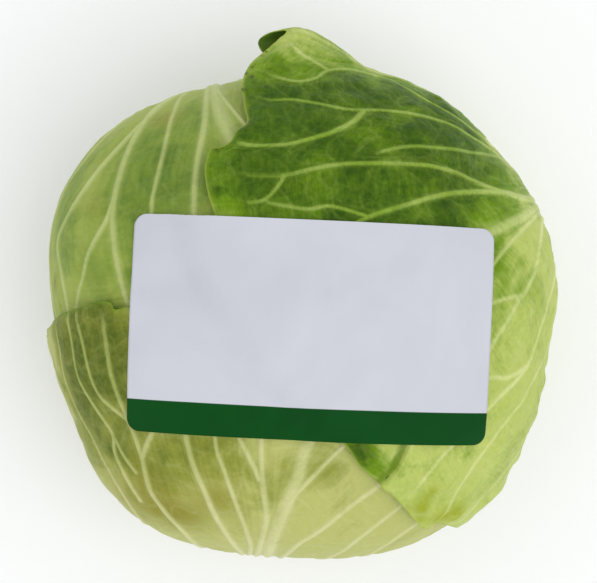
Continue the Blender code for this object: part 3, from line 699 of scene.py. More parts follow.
# The whole skin of a leaf: its colour, roughness and fine relief from the look's values and the mesh's masks
def leafSkinGroup(look):
    outputs = ["Colour", "Roughness", "Height"]
    group, w, given, out = newGroup("leafSkin", {"Object": None, "Map": None} | look, outputs)
    place = given["Object"]
    patches = w.group(mottle, {"Vector": place, "Coarse": given["patchScale"]}).outputs
    cells = w.group(cellNet, {"Vector": place, "Scale": given["cellScale"]}).outputs
    lines = w.group(streakLines, {"Vector": given["Map"], "Across": given["streaks"]}).outputs
    lengthwise, crosswise = lines["Lengthwise"], lines["Crosswise"]

    # Three steps of colour by tone, which patches and streaks vary. Tone is partly the leaf's own pale and
    # green places and partly painted shade
    toneAndShade = w.plus(w.mask("toneAndShade"), w.centred(patches["Patches"], given["patchiness"]))
    toneAndShade = w.plus(toneAndShade, w.centred(lengthwise, given["streakiness"]))
    toneAndShade = w.plus(toneAndShade, w.centred(crosswise, given["crossing"]), clamp=True)
    colour = w.mix(w.spanOf(toneAndShade, *skin["paleToMiddle"]), given["pale"], given["middle"])
    colour = w.mix(w.spanOf(toneAndShade, *skin["middleToGreen"]), colour, given["green"])
    onGreen = w.plus(skin["paleShare"], w.times(toneAndShade, 1 - skin["paleShare"]))
    colour = w.over(colour, given["yellow"], w.times(patches["Grain"], given["grain"]), onGreen)
    colour = w.mix(w.mask("stain"), colour, given["stained"])

    # The fine net, the ladder veins, the pale foot, and the veins with a soft border and a core
    veinColour = w.mix(toneAndShade, given["veinOnPale"], given["vein"])
    net = w.plus(w.times(toneAndShade, given["netOnGreen"]), given["net"])
    colour = w.over(colour, veinColour, cells["Lines"], net)
    colour = w.over(colour, veinColour, w.mask("ladder"), given["ladder"])
    colour = w.over(colour, given["foot"], w.mask("foot"), given["footShare"])
    vein, bold = w.mask("vein"), w.mask("bold")
    halo = w.times(w.spanOf(vein, *skin["halo"]), bold)
    colour = w.over(colour, veinColour, halo, given["haloShare"])
    core = w.times(w.spanOf(vein, *skin["core"]), w.times(bold, given["veinShare"]))
    grain = w.times(patches["Grain"], skin["coreGrain"])
    colour = w.over(colour, veinColour, core, w.plus(1 - skin["coreGrain"], grain))

    # Dull freckles, the rim, the pleat's painted shade, the wax bloom with painted sheen, the painted shade on
    # the underside, and specks and marks at the rim
    freckles = w.spanOf(w.noise(place, skin["freckleScale"], 3.0, 0.6, 0.3), 0.35, 0.7)
    dull = w.plus(w.times(freckles, given["freckles"]), w.times(crosswise, given["hatch"]))
    colour = w.over(colour, skin["dull"], dull, onGreen, "MULTIPLY")
    colour = w.over(colour, given["rim"], w.mask("rim"), given["rimShare"])
    # Painted shade: the dark strip beside the pleat
    colour = w.over(colour, given["pleatShade"], w.mask("shade"), skin["pleatShadeShare"])
    # Wax bloom with painted sheen: pale patches that stand in for soft reflections as well as the leaf's wax
    sheenAndBloomPatches = w.noise(place, skin["sheenAndBloomScale"], 4.0, 0.6, 0.6)
    sheenAndBloomGrain = w.spanOf(w.noise(place, skin["sheenAndBloomGrainScale"], 4.0, 0.65, 0.5), 0.35, 0.7, 0.25, 1.0)
    sheenAndBloomAmount = w.times(w.spanOf(sheenAndBloomPatches, 0.42, 0.68), given["sheenAndBloomAmount"])
    colour = w.over(colour, given["sheenAndBloom"], sheenAndBloomAmount, sheenAndBloomGrain)
    # Painted shade on the underside, where its share is above 0
    colour = w.over(colour, given["undersideShade"], w.mask("undersideShade"), given["undersideShadeShare"])
    atRim = w.times(w.group(specks, {"Vector": place}).outputs["Mask"], w.math("POWER", w.mask("nearRim"), 2.0))
    colour = w.over(colour, given["speck"], atRim, given["speckShare"])
    w.give(out["Colour"], w.mix(w.mask("mark"), colour, given["speck"]))
    w.give(out["Roughness"], w.plus(w.times(sheenAndBloomPatches, skin["sheenAndBloomRoughness"]), given["roughness"]))

    height = w.plus(w.times(cells["Cushion"], given["cushion"]), w.centred(crosswise, given["wrinkle"]))
    height = w.plus(height, w.times(lengthwise, skin["streakHeight"]))
    height = w.plus(height, w.times(w.noise(place, skin["blisterScale"], 4.0, 0.6, 0.4), given["blister"]))
    pores = w.times(w.noise(place, skin["poreScale"], 2.0), skin["poreHeight"])
    w.give(out["Height"], w.plus(height, pores))
    return group


leafLook = {
    "pale": paint(172, 190, 90),  # the three steps from the palest skin to the greenest
    "middle": paint(128, 154, 52),
    "green": paint(84, 118, 14),
    "yellow": paint(150, 160, 50),
    "stained": paint(140, 128, 48),
    "vein": paint(186, 202, 112),  # where the leaf is green
    "veinOnPale": paint(206, 210, 140),
    "foot": paint(205, 208, 160),
    "rim": paint(150, 178, 70),
    # painted shade for the strip beside a pleat
    "pleatShade": paint(70, 100, 20),
    # wax bloom and painted sheen
    "sheenAndBloom": paint(150, 168, 118),
    "speck": paint(62, 46, 20),
    # colour of the inner face: painted shade, used only where its share is above 0
    "undersideShade": paint(150, 172, 84),
    "patchScale": 55.0,
    "cellScale": 190.0,
    "streaks": 90.0,
    "patchiness": 0.45,
    "streakiness": 0.14,
    "crossing": 0.08,
    "grain": 0.30,
    "net": 0.04,
    "netOnGreen": 0.12,
    "ladder": 0.28,
    "footShare": 0.75,
    "veinShare": 0.85,
    "haloShare": 0.22,
    "rimShare": 0.6,
    "sheenAndBloomAmount": 0.10,
    "speckShare": 0.0,
    "undersideShadeShare": 0.0,
    "roughness": 0.42,
    "cushion": 0.5,
    "wrinkle": 0.45,
    "blister": 0.5,
    "freckles": 0.16,
    "hatch": 0.10,
}
leafSkin = leafSkinGroup(leafLook)


# A new material, its wiring and its shader
def newMaterial(name):
    material = bpy.data.materials.new(name)
    material.use_nodes = True
    return material, Wiring(material.node_tree), material.node_tree.nodes["Principled BSDF"]


# Joins the changing colour, roughness and bump to the shader, and sets its steady values
def finishShader(w, shader, colour, roughness, height, bump, steady):
    strength, distance = bump
    made = w.node("ShaderNodeBump", {"Strength": strength, "Distance": distance, "Height": height})
    values = {"Base Color": colour, "Roughness": roughness, "Normal": made.outputs["Normal"]}
    for name, value in (values | steady).items():
        w.give(shader.inputs[name], value)


leafShader = {
    "Subsurface Weight": 0.10,
    "Subsurface Radius": (0.6, 1.0, 0.25),
    "Subsurface Scale": 0.002,
    "Specular IOR Level": 0.12,
}


# The leaf skin with one look's values, reading the object's coordinates and the leaf's own map
def leafMaterial(name, look):
    material, w, shader = newMaterial(name)
    place, sheetMap = w.places()
    made = w.group(leafSkin, {"Object": place, "Map": sheetMap} | look).outputs
    finishShader(w, shader, made["Colour"], made["Roughness"], made["Height"], skin["bump"], leafShader)
    return material


print("surfaces and materials are ready")

outerRelief = {
    "layer": "outerLift",
    "blade": 0.0008,
    "edgeBlade": 0.00035,  # thickness at the free edge
    "fullWidth": 0.0014,  # half width of a vein of the full height
    "tipShare": 0.55,  # share of width and height left at a vein's far end
    "tipFade": 0.28,  # how much of its strength a vein loses on its last half
    "leastHalfWidth": 0.00070,
    "thinStrength": 0.62,  # how plain the thinnest vein's colour is, beside a full one's
    "tipTaper": 0.05,  # the share of a vein over which its end runs out
    "maskReach": 2.4,  # half widths out to where a vein's mask ends
    "ridgeReach": 1.5,  # half widths out to where its ridge ends
    "ribClear": 0.5,  # half widths of a rib from which the blade begins to rise
    "rows": 54,  # on the inner side; the outer side has skip times as many
    "skip": 4,
    "rowPower": 0.7,  # below 1, the rows are closer towards the free edge
    "ribHeight": 0.0013,
    "stalkHeight": 0.0045,
    "stalkHalfWidth": 0.0150,
    "stalkTipHalfWidth": 0.0024,
    "stalkReach": 0.45,
    "ladderHalfWidth": 0.00050,
    "ladderHeight": 0.00016,
    "ladderSlack": 0.0008,  # a ladder vein pins the blade less than a rib by this much
    "pillowReach": 0.0045,
    "thinReach": 0.0040,  # from the border in to the full thickness
    "ribReach": 0.0025,  # from the border in to the ribs' full height
    "slack": 0.004,  # beside the foot, the sides of the leaf count as this much further off
    "slackEnd": 0.35,
    "slackRamp": 0.3,
    "waveStart": 0.3,  # share of the way from the foot where waves and puckers begin
    "waveRamp": 0.25,
    "leastWave": 0.35,
    "veinCalm": 0.7,  # how much of the puckers a vein and the label take away
    "labelCalm": 0.6,
    "footStart": 0.05,
    "footRamp": 0.45,
    "waveReach": 0.014,
    "rimWidth": 0.0011,
    "speckReach": 0.022,
    "pleat": None,
    "edge": [],
    "stain": [],
    "marks": [],
    "crinkle": 0.0,  # how much deeper the stained places pucker
    "fullTone": 0.88,  # below 1, so that patches still show on the darkest green
}

upperLeftLeaf = outerRelief | {
    "name": "upperLeftLeaf",
    "node": "leaf_upper_left",
    "slot": "upper_left_leaf",
    "seed": 11,
    "ribHeight": 0.0011,
    "spacing": 0.00084,
    "ladderSpacing": 0.013,
    "pillow": 0.00045,
    "pucker": 0.00025,
    "puckerSize": 0.012,
    "edgeStand": 0.0006,
    "waveSize": 0.020,
    "lines": [
        ("plain", [(71, -75), (74, -45), (76, -22), (70, -6), (60, 6)]),
        ("rib", [(83, -75), (91, -45), (94, -20), (90, -2), (77, 13), (60, 24)]),
        ("rib", [(93, -75), (102, -45), (106, -15), (104, 8), (92, 28), (73, 41), (52, 48)]),
        ("rib", [(102, -75), (107.5, -45), (109.5, -15), (109.5, 10), (106.5, 35), (95, 50), (65, 61),
            (20, 64)]),
        ("stalk", [(110.6, -75), (110.6, -45), (110.6, 8), (111, 38), (114, 56), (135, 77), (240, 80)]),
        ("rib", [(119, -75), (114, -45), (111.8, -15), (111.5, 8), (116, 33), (125, 46), (150, 62),
            (200, 72)]),
        ("rib", [(127, -75), (117, -45), (113, -15), (112.5, 8), (120, 26), (136, 41), (158, 54),
            (188, 61)]),
        ("rib", [(135, -75), (122, -45), (115.5, -15), (114.5, 5), (129, 23.5), (149, 34.5), (170, 44),
            (192, 48)]),
        ("rib", [(143, -75), (128, -45), (119, -15), (117, 5), (129, 19), (146, 18), (163, 12), (177, 19),
            (190, 28)]),
        ("rib", [(147, -75), (143, -45), (144, -22), (152, -6), (168, 3), (190, 20)]),
        ("plain", [(151, -75), (162, -45), (172, -20), (181, 0), (189, 14)]),
    ],
    "veins": [
        ("rib", 0.0014, [(83, -75), (91, -45), (94, -20), (90, -2), (77, 13), (60, 24)]),
        ("rib", 0.0014, [(93, -75), (102, -45), (106, -15), (104, 8), (92, 28), (73, 41), (52, 48)]),
        ("rib", 0.0013, [(102, -75), (107.5, -45), (109.8, -15), (110.4, 12), (110.2, 22), (107, 35),
            (98, 50), (65, 61), (20, 64)]),
        ("stalk", 0.0020, [(110.6, -75), (110.6, -45), (110.8, 8), (112, 31.5), (111.5, 40), (112, 56),
            (135, 77), (240, 80)]),
        ("rib", 0.0017, [(119, -75), (114, -45), (112, -15), (112, 8), (113.2, 19.5), (116.8, 32.5),
            (122.2, 40.5), (130, 48), (150, 60), (200, 72)]),
        ("rib", 0.0011, [(123, -60), (116, -30), (114.5, 0), (119.2, 14), (122.2, 23), (129.4, 34),
            (137.8, 40.5), (143.8, 43.5), (165, 53), (188, 58)]),
        ("rib", 0.0019, [(127, -75), (118, -45), (115, -12), (116, 3), (122, 10), (128, 19), (134.2, 25.5),
            (142.6, 31.5), (151, 35.5), (159.4, 39.5), (170, 43.5), (192, 48)]),
        ("rib", 0.0010, [(149.8, 34.5), (154, 35), (164.2, 32.5), (169.6, 31.5), (177.4, 28.5), (185, 27)]),
        ("rib", 0.0018, [(135, -75), (123, -45), (118, -15), (119, 6), (127.6, 19), (136.6, 23.5),
            (146.8, 24), (157, 21), (163, 18), (168, 20.5), (175, 23.5), (188, 25)]),
        ("rib", 0.0014, [(143, -75), (128, -45), (121, -15), (124, 1), (133, 9), (143, 14), (153.4, 11),
            (163, 8), (176, 12), (190, 20)]),
        ("rib", 0.0013, [(147, -75), (143, -45), (144, -22), (152, -6), (168, 3), (190, 16)]),
    ],
    # Tone spots: partly the leaf's own greener places, partly painted shade that makes places darker
    "toneAndShade": [
        (146, 44, 0.028, 0.6),
        (122, 34, 0.026, 0.45),
        (150, 12, 0.012, 0.20),
        (112, 5, 0.016, -0.15),
        (164, 21, 0.016, 0.34),
        (117, 26, 0.012, 0.30),
    ],
    "stain": [(173, 17, 0.0025, 0.8), (124.6, 24, 0.0050, 0.5), (152, 30, 0.0040, 0.25)],
}

lowerLeaf = outerRelief | {
    "name": "lowerLeaf",
    "node": "leaf_lower",
    "slot": "lower_leaf",
    "seed": 23,
    "ribHeight": 0.0010,
    "spacing": 0.00082,
    "ladderSpacing": 0.011,
    "pillow": 0.00050,
    "pucker": 0.00030,
    "puckerSize": 0.011,
    "edgeStand": 0.0012,
    "waveSize": 0.018,
    "lines": [
        ("plain", [(-139, -75), (-155, -45), (-168, -20), (-175, 2), (-179, 16)]),
        ("rib", [(-135, -75), (-137, -45), (-141, -18), (-149, 4), (-164, 17), (-181, 22)]),
        ("rib", [(-131, -75), (-122, -45), (-119, -15), (-121, 8), (-134, 25), (-148, 33), (-163, 31),
            (-182, 29)]),
        ("plain", [(-127, -75), (-118, -45), (-115, -15), (-117, 9), (-129, 28), (-145, 37), (-164, 36),
            (-183, 35)]),
        ("rib", [(-123, -75), (-114, -45), (-111, -15), (-113, 10), (-126, 29), (-141, 38), (-157, 41),
            (-184, 41)]),
        ("plain", [(-117, -75), (-109, -45), (-107, -15), (-109, 10), (-122, 34), (-141, 44), (-160, 49),
            (-181, 47)]),
        ("rib", [(-111, -75), (-105, -45), (-103.5, -10), (-104, 12), (-117, 37), (-129, 47), (-150, 57),
            (-177, 60)]),
        ("rib", [(-105, -75), (-102, -45), (-101.5, -10), (-102, 15), (-108, 37), (-118, 50), (-138, 63),
            (-172, 69)]),
        ("rib", [(-100, -75), (-100, -45), (-100, 0), (-100, 19), (-99, 36), (-106, 52), (-120, 70),
            (-165, 79)]),
        ("stalk", [(-95, -75), (-97, -45), (-98, 0), (-98, 20), (-94, 43), (-83, 52), (-60, 61),
            (-15, 67)]),
        ("rib", [(-87, -75), (-92, -45), (-95, -5), (-94, 15), (-82, 35), (-66, 45), (-49, 50), (-27, 52)]),
        ("rib", [(-77, -75), (-83, -45), (-86, -5), (-83, 13), (-75, 23), (-60, 32), (-46, 37), (-32, 39)]),
        ("rib", [(-68, -75), (-70, -45), (-69, -10), (-62, 8), (-50, 18), (-38, 24), (-28, 26)]),
        ("plain", [(-59, -75), (-54, -45), (-48, -20), (-42, -3), (-34, 8), (-26, 14)]),
    ],
    "edge": [
        (0, -177.8, 17),
        (1, -180, 24.5),
        (2, -181.2, 29.5),
        (3, -182.6, 35),
        (3.5, -183.8, 38.5),
        (4, -184.4, 41.6),
        (4.2, -183.8, 43),
        (4.45, -182.4, 43.4),
        (4.65, -181.8, 44.6),
        (5, -183.2, 47),
    ],
    "veins": [
        ("rib", 0.0013, [(-135, -75), (-130, -45), (-126, -15), (-127, 8), (-134, 18.5), (-145.4, 22),
            (-158, 20.5), (-170, 21), (-181, 23)]),
        ("rib", 0.0010, [(-131, 23.5), (-135.2, 25.5), (-143.6, 28.5), (-147.8, 31), (-155, 30), (-166, 28),
            (-182, 29)]),
        ("rib", 0.0009, [(-136.4, 30.5), (-140, 30.5), (-147.8, 31)]),
        ("rib", 0.0016, [(-131, -75), (-121, -45), (-113, -15), (-113, 5), (-118, 19.5), (-126.2, 26.5),
            (-130.4, 29), (-138.2, 35), (-149, 38), (-160, 39.5), (-184, 40)]),
        ("rib", 0.0009, [(-149, 38), (-158.6, 33.5), (-165, 33), (-182, 32)]),
        ("rib", 0.0011, [(-138.2, 35), (-140.6, 39.5), (-143, 43), (-156, 49), (-179, 52)]),
        ("rib", 0.0016, [(-117, -75), (-111, -45), (-106, -10), (-104, 12), (-108.2, 24.5), (-114.8, 34),
            (-119, 38.5), (-128, 44.5), (-134, 48), (-150, 55), (-177, 60)]),
        ("rib", 0.0010, [(-102.5, 10), (-102.4, 21), (-104.6, 29.5), (-108.2, 36.5), (-115.4, 45),
            (-123.2, 50.5), (-140, 61), (-172, 68)]),
        ("rib", 0.0010, [(-104.6, 46.5), (-108.2, 50), (-117.8, 55.5), (-130, 60)]),
        ("rib", 0.0017, [(-105, -75), (-102, -45), (-101, -10), (-100.5, 12), (-99.8, 29.5), (-99.8, 35.5),
            (-103.4, 46.5), (-108.2, 57), (-120, 70), (-165, 79)]),
        ("stalk", 0.0019, [(-95, -75), (-97, -45), (-98, 0), (-97.4, 25), (-94.4, 39.5), (-90.8, 49),
            (-87.2, 57), (-70, 66), (-15, 72)]),
        ("rib", 0.0011, [(-96, 36), (-93.2, 42), (-89.6, 45.5), (-84.2, 49.5), (-78.8, 52.5), (-60, 58),
            (-25, 60)]),
        ("rib", 0.0015, [(-87, -75), (-92, -45), (-95, -5), (-94.5, 12), (-90.8, 24.5), (-86.6, 29.5),
            (-75.8, 38.5), (-65.6, 42), (-49, 46), (-28, 48)]),
        ("rib", 0.0013, [(-77, -75), (-83, -45), (-88, -5), (-84, 11), (-79.4, 20.5), (-74, 27.5),
            (-62, 34), (-46, 37), (-31, 37)]),
        ("rib", 0.0013, [(-68, -75), (-74, -45), (-78, -10), (-75, 9), (-68.6, 20), (-60.2, 25), (-45, 28),
            (-28, 26)]),
    ],
    # Tone spots: partly the leaf's own greener places, partly painted shade, darker towards its left side, away
    # from the light
    "toneAndShade": [
        (-176, 30, 0.022, 0.9),
        (-165, 38, 0.022, 0.6),
        (-146, 27, 0.022, 0.48),
        (-124, 45, 0.015, 0.50),
        (-136, 36, 0.016, 0.26),
        (-101, 49, 0.016, 0.34),
        (-80, 51, 0.016, 0.15),
    ],
    "stain": [(-129, 27, 0.010, 0.7), (-120, 28, 0.010, 0.75), (-136, 32, 0.006, 0.5),
        (-132, 18, 0.010, 0.5), (-114.5, 38, 0.008, 0.75)],
}

rightLeaf = outerRelief | {
    "name": "rightLeaf",
    "node": "leaf_right",
    "slot": "right_leaf",
    "seed": 37,
    "ribHeight": 0.0009,
    "stalkReach": 0.36,
    "stalkTipHalfWidth": 0.0018,
    "spacing": 0.00089,
    "ladderSpacing": 0.009,
    "pillow": 0.00080,
    "pucker": 0.00050,
    "puckerSize": 0.010,
    "crinkle": 2.5,
    "fullTone": 0.93,
    "edgeStand": 0.0014,
    "waveSize": 0.016,
    "lines": [
        ("plain", [(-15, -75), (-24, -45), (-34, -20), (-42, 5), (-51, 15)]),
        ("rib", [(-12, -75), (-9, -45), (-15, -20), (-24, 1), (-38, 15), (-56, 19)]),
        ("rib", [(-8, -75), (6, -45), (2, -20), (-8, 2), (-27, 21), (-37, 31), (-47, 32), (-60, 24)]),
        ("rib", [(2, -75), (15, -45), (14, -12), (6, 7), (-6, 22), (-14, 30), (-33, 38), (-47, 41),
            (-62, 35)]),
        ("rib", [(12, -75), (20, -45), (21.5, -5), (22, 10), (20, 32), (11, 40), (-8, 48), (-36, 52),
            (-64, 45)]),
        ("plain", [(19, -75), (23, -45), (23.5, -5), (23, 20), (18, 44), (0, 58), (-33, 62), (-66, 53)]),
        ("stalk", [(26, -75), (25.5, -45), (25, -5), (25, 25), (24, 37), (25, 64), (-149, 81)]),
        ("rib", [(33, -75), (28.5, -45), (27, -5), (27.5, 15), (32, 31), (42, 47), (54, 58), (91, 71),
            (146, 67)]),
        ("rib", [(40, -75), (32, -45), (29.5, -5), (30, 14), (35, 30), (56, 43), (76, 51), (97, 55.5),
            (123, 48)]),
        ("plain", [(44, -75), (35, -45), (32, -5), (35, 17), (43, 34), (62, 45), (90, 51), (121, 45)]),
        ("rib", [(48, -75), (38, -45), (35, -8), (41, 16), (47, 29), (58, 39), (75, 42.5), (90, 46),
            (113, 43.5)]),
        ("plain", [(50, -75), (41, -45), (37.5, -8), (43, 13), (50, 26), (62, 34), (78, 38.5), (107, 38)]),
        ("rib", [(53, -75), (44, -45), (40, -8), (45, 10), (52, 22), (62, 28), (73, 34), (90, 33.5),
            (105, 28)]),
        ("plain", [(55, -75), (47, -45), (43, -9), (48, 9), (60, 22), (77, 26), (90, 29.5), (104, 24)]),
        ("rib", [(57, -75), (50, -45), (46, -10), (50, 7), (61, 16.5), (72, 15), (83, 20.5), (91, 25.5),
            (102, 20.5)]),
        ("rib", [(60, -75), (53, -45), (51, -13), (55, 3), (66, 12.5), (74, 12), (83, 17.5), (88, 16.5),
            (95, 12.5)]),
        ("plain", [(62, -75), (57, -45), (58, -16), (63, -2), (70, 7), (77, 8.5), (85, 9), (93, 8.5)]),
        ("plain", [(64, -75), (61, -45), (63, -18), (68, -3), (73.5, 4), (80, 6.5), (90, 3.5), (99, 3)]),
        ("plain", [(66, -75), (65, -45), (68, -20), (72, -4), (77, 3.5), (82, 4.5), (89, 0), (96, -2)]),
    ],
    "edge": [
        (0, -51.5, 16),
        (0.35, -53.2, 14),
        (0.7, -54.6, 18),
        (1, -56, 23.6),
        (1.3, -57.2, 24.9),
        (1.7, -59, 25.2),
        (2, -60.2, 26.8),
        (2.35, -60.9, 30),
        (2.7, -61.4, 33),
        (3, -62, 36),
        (3.35, -62.6, 38.6),
        (3.7, -63.4, 41.2),
        (4, -64.4, 43.4),
        (4.3, -65, 45.2),
        (4.5, -66.3, 47.4),
        (4.75, -68, 50),
        (5, -69.4, 52.6),
        (7, 146, 67),
        (7.4, 131.5, 58.2),
        (7.8, 127, 52.5),
        (8, 124, 48.5),
        (8.5, 121, 45.2),
        (9, 118.8, 43.4),
        (9.3, 116.6, 43.9),
        (9.6, 114.4, 44),
        (10, 112, 43.4),
        (10.35, 109.6, 41.4),
        (10.7, 106.6, 40),
        (11, 105.5, 38.6),
        (11.4, 105.3, 35),
        (11.8, 104.8, 30.5),
        (12, 104.8, 28),
        (13, 103.6, 24),
        (14, 101.6, 20.5),
    ],
    "veins": [
        ("rib", 0.0010, [(-12, -75), (-9, -45), (-15, -20), (-24, 1), (-38, 15), (-56, 19)]),
        ("rib", 0.0011, [(-8, -75), (6, -45), (5, -20), (-2, 2), (-10, 16), (-18.8, 24), (-30.2, 30),
            (-44, 31), (-53.6, 27), (-58, 25)]),
        ("rib", 0.0013, [(2, -75), (15, -45), (16, -12), (11, 5), (5, 17), (-2.6, 22), (-9.8, 24.5),
            (-16.4, 29.5), (-23, 35), (-35.6, 40), (-48, 40.5), (-62, 37)]),
        ("rib", 0.0010, [(-12.8, 26.5), (-17, 33.5), (-18.2, 38.5), (-26, 46)]),
        ("rib", 0.0014, [(12, -75), (20, -45), (22, -5), (21, 12), (17, 20), (9.4, 27), (2.2, 34), (-5, 38),
            (-22.4, 45), (-40, 49), (-64, 48.5)]),
        ("rib", 0.0008, [(5.2, 31.5), (4.6, 38), (1, 46), (-10, 55)]),
        ("rib", 0.0010, [(24, 6), (22.6, 19.5), (19.6, 31.5), (14.8, 39.5), (8.2, 45.5), (-1.4, 53),
            (-25, 60), (-64, 58)]),
        ("stalk", 0.0014, [(26, -75), (25.5, -45), (25, -5), (24, 20), (23.6, 36), (22.6, 54), (24, 70),
            (-149, 81)]),
        ("rib", 0.0014, [(33, -75), (28.5, -45), (26.5, -5), (27, 15), (32, 28), (38.8, 40.5), (46, 52),
            (55.6, 60.5), (79, 72), (146, 68)]),
        ("rib", 0.0007, [(55.6, 60.5), (75.4, 62), (85.6, 63.5), (98.2, 62.5), (107.8, 60.5)]),
        ("rib", 0.0013, [(40, -75), (32, -45), (28, -5), (26, 10), (28, 20.5), (34, 29.5), (42.4, 36),
            (53.8, 43.5), (65.2, 48.5), (80.8, 52.5), (96.4, 55), (105.4, 54), (118, 50)]),
        ("rib", 0.0007, [(96.4, 55), (101.2, 58), (108.4, 60), (116.2, 59)]),
        ("rib", 0.0008, [(34, 8), (38, 14), (43, 25), (50.8, 35), (58.6, 40.5), (65.8, 46)]),
        ("rib", 0.0012, [(48, -75), (38, -45), (31, -8), (32, 6), (38, 12), (44, 18), (49, 22.5),
            (56.8, 27.5), (66.4, 32), (76.6, 35.5), (85, 35), (92.2, 33.5), (98.8, 33), (103.6, 31)]),
        ("rib", 0.0011, [(73, 35), (74.8, 39), (79.6, 43), (88, 46), (97.6, 47), (107.2, 45.5),
            (111, 44.3)]),
        ("rib", 0.0012, [(53, -75), (44, -45), (36, -12), (38, 3), (48, 16), (58, 20.5), (65.5, 18),
            (71, 15), (77, 17.5), (83.8, 22), (86.8, 26), (91.6, 27), (99.4, 23)]),
        ("rib", 0.0009, [(83.8, 22), (86, 20.5), (90.4, 17), (92.5, 14)]),
        ("rib", 0.0011, [(60, -75), (53, -45), (51, -13), (55, 3), (66, 10), (76, 9), (86, 10), (94, 8.5)]),
    ],
    "pleat": {  # towards the lower right
        "line": [(-49, 49.5), (-53.6, 48), (-59.6, 46), (-67, 44.5)],
        "height": 0.0014,
        "ease": 0.0008,
        "reach": 0.010,
        # the strip is painted shade
        "dark": 0.0030,  # width of the dark strip beside it
        "darkEase": 0.0006,
    },
    # Tone spots: partly the leaf's own greener places, partly painted shade that makes places darker
    "toneAndShade": [
        (60, 35, 0.042, 0.80),
        (100, 40, 0.036, 0.60),
        (80, 60, 0.036, 0.95),
        (45, 30, 0.028, 0.32),
        (30, 50, 0.018, 0.25),
        (116, 45, 0.018, 0.14),
        (84, 22, 0.017, -0.12),  # the lobe is lighter
        (-67, 53.5, 0.0075, 1.1),  # the dark flap below the pleat
        (4, 36, 0.012, 0.28),
        (-62, 47, 0.006, 0.4),
        (-40, 35, 0.005, 0.28),
        (-30, 33, 0.006, 0.18),
        (-5, 18, 0.020, -0.06),
    ],
    "stain": [
        (-55.4, 27, 0.0038, 1.0),
        (-57.8, 34, 0.0032, 0.9),
        (-51.8, 24.5, 0.0036, 0.9),
        (-60, 30, 0.0026, 0.7),
        (-53.6, 35.5, 0.0026, 0.8),
    ],
    "marks": [
        (101.8, 25, 0.0008, 1.0),
        (104.8, 28.5, 0.0010, 1.0),
        (103, 23, 0.0008, 0.9),
        (98.8, 18, 0.0007, 0.9),
        (101.2, 21.5, 0.0006, 0.8),
        (110, 36, 0.0006, 0.6),
        (117, 44.5, 0.0007, 0.7),
    ],
}
lobeRoll = {
    "top": 36.0,
    "startAzimuth": 72.0,
    "fullAzimuth": 92.0,
    "lastAzimuth": 125.0,
    "straight": 0.0372,
    "flare": 0.0016,  # the straight run is this much longer towards the lobe's tip
    "tipStart": 80.0,
    "tipRamp": 10.0,
    "radius": 0.0050,
    "steps": 60,
}

upperLeftLook = leafLook | {
    "pale": paint(158, 175, 80),
    "middle": paint(122, 149, 57),
    "green": paint(76, 113, 40),
    "yellow": paint(148, 158, 50),
    "vein": paint(184, 196, 118),
    "veinOnPale": paint(200, 208, 142),
    "rim": paint(130, 160, 70),
    "net": 0.02,
    "netOnGreen": 0.04,
    "ladder": 0.08,
    "haloShare": 0.32,
    "streakiness": 0.11,
    "crossing": 0.03,
    "sheenAndBloomAmount": 0.14,
    "hatch": 0.03,
}
lowerLook = leafLook | {
    "pale": paint(186, 191, 112),
    "middle": paint(138, 147, 56),
    "green": paint(76, 97, 10),
    "yellow": paint(172, 170, 60),
    "stained": paint(142, 140, 42),
    "vein": paint(188, 198, 112),
    "veinOnPale": paint(218, 218, 164),
    "rim": paint(110, 150, 30),
    "grain": 0.24,
    "netOnGreen": 0.04,
    "ladder": 0.12,
    "haloShare": 0.18,
    "streakiness": 0.10,
    "crossing": 0.03,
    "hatch": 0.04,
    "sheenAndBloomAmount": 0.06,
}
rightLook = leafLook | {
    "pale": paint(188, 202, 106),
    "middle": paint(110, 147, 12),
    "green": paint(44, 80, 0),
    "yellow": paint(112, 140, 6),
    "vein": paint(150, 181, 62),
    "veinOnPale": paint(220, 226, 156),
    "foot": paint(206, 214, 136),
    "footShare": 0.40,
    "stained": paint(156, 168, 16),
    "rim": paint(176, 194, 80),
    "rimShare": 0.75,
    # painted shade for the strip beside the pleat
    "pleatShade": paint(96, 124, 16),
    "undersideShade": paint(66, 100, 22),
    # The rolled lobe's inner face: painted shade in dark green
    "undersideShadeShare": 0.9,
    "grain": 0.24,
    "net": 0.03,
    "netOnGreen": 0.045,
    "ladder": 0.14,
    "streakiness": 0.08,
    "veinShare": 0.92,
    "haloShare": 0.20,
    # wax bloom and painted sheen
    "sheenAndBloomAmount": 0.30,
    "sheenAndBloom": paint(104, 143, 36),
    "speckShare": 0.8,
    "cushion": 0.8,
    "blister": 1.0,
    "freckles": 0.24,
    "hatch": 0.09,
}
innerLook = leafLook | {
    "pale": paint(196, 202, 128),
    "middle": paint(174, 188, 106),
    "green": paint(150, 172, 84),
    "vein": paint(214, 216, 166),
    "sheenAndBloomAmount": 0.12,
}

outerLeaves = (upperLeftLeaf, lowerLeaf, rightLeaf)
upperLeftPlan, lowerPlan, rightPlan = (LeafPlan(leaf["lines"]) for leaf in outerLeaves)
buildLeaf(upperLeftLeaf, upperLeftPlan, [], upperLeftLook)
buildLeaf(lowerLeaf, lowerPlan, [upperLeftPlan], lowerLook)
buildLeaf(rightLeaf, rightPlan, [upperLeftPlan, lowerPlan], rightLook, rolled=lobeRoll)
print("outer leaves are in place")

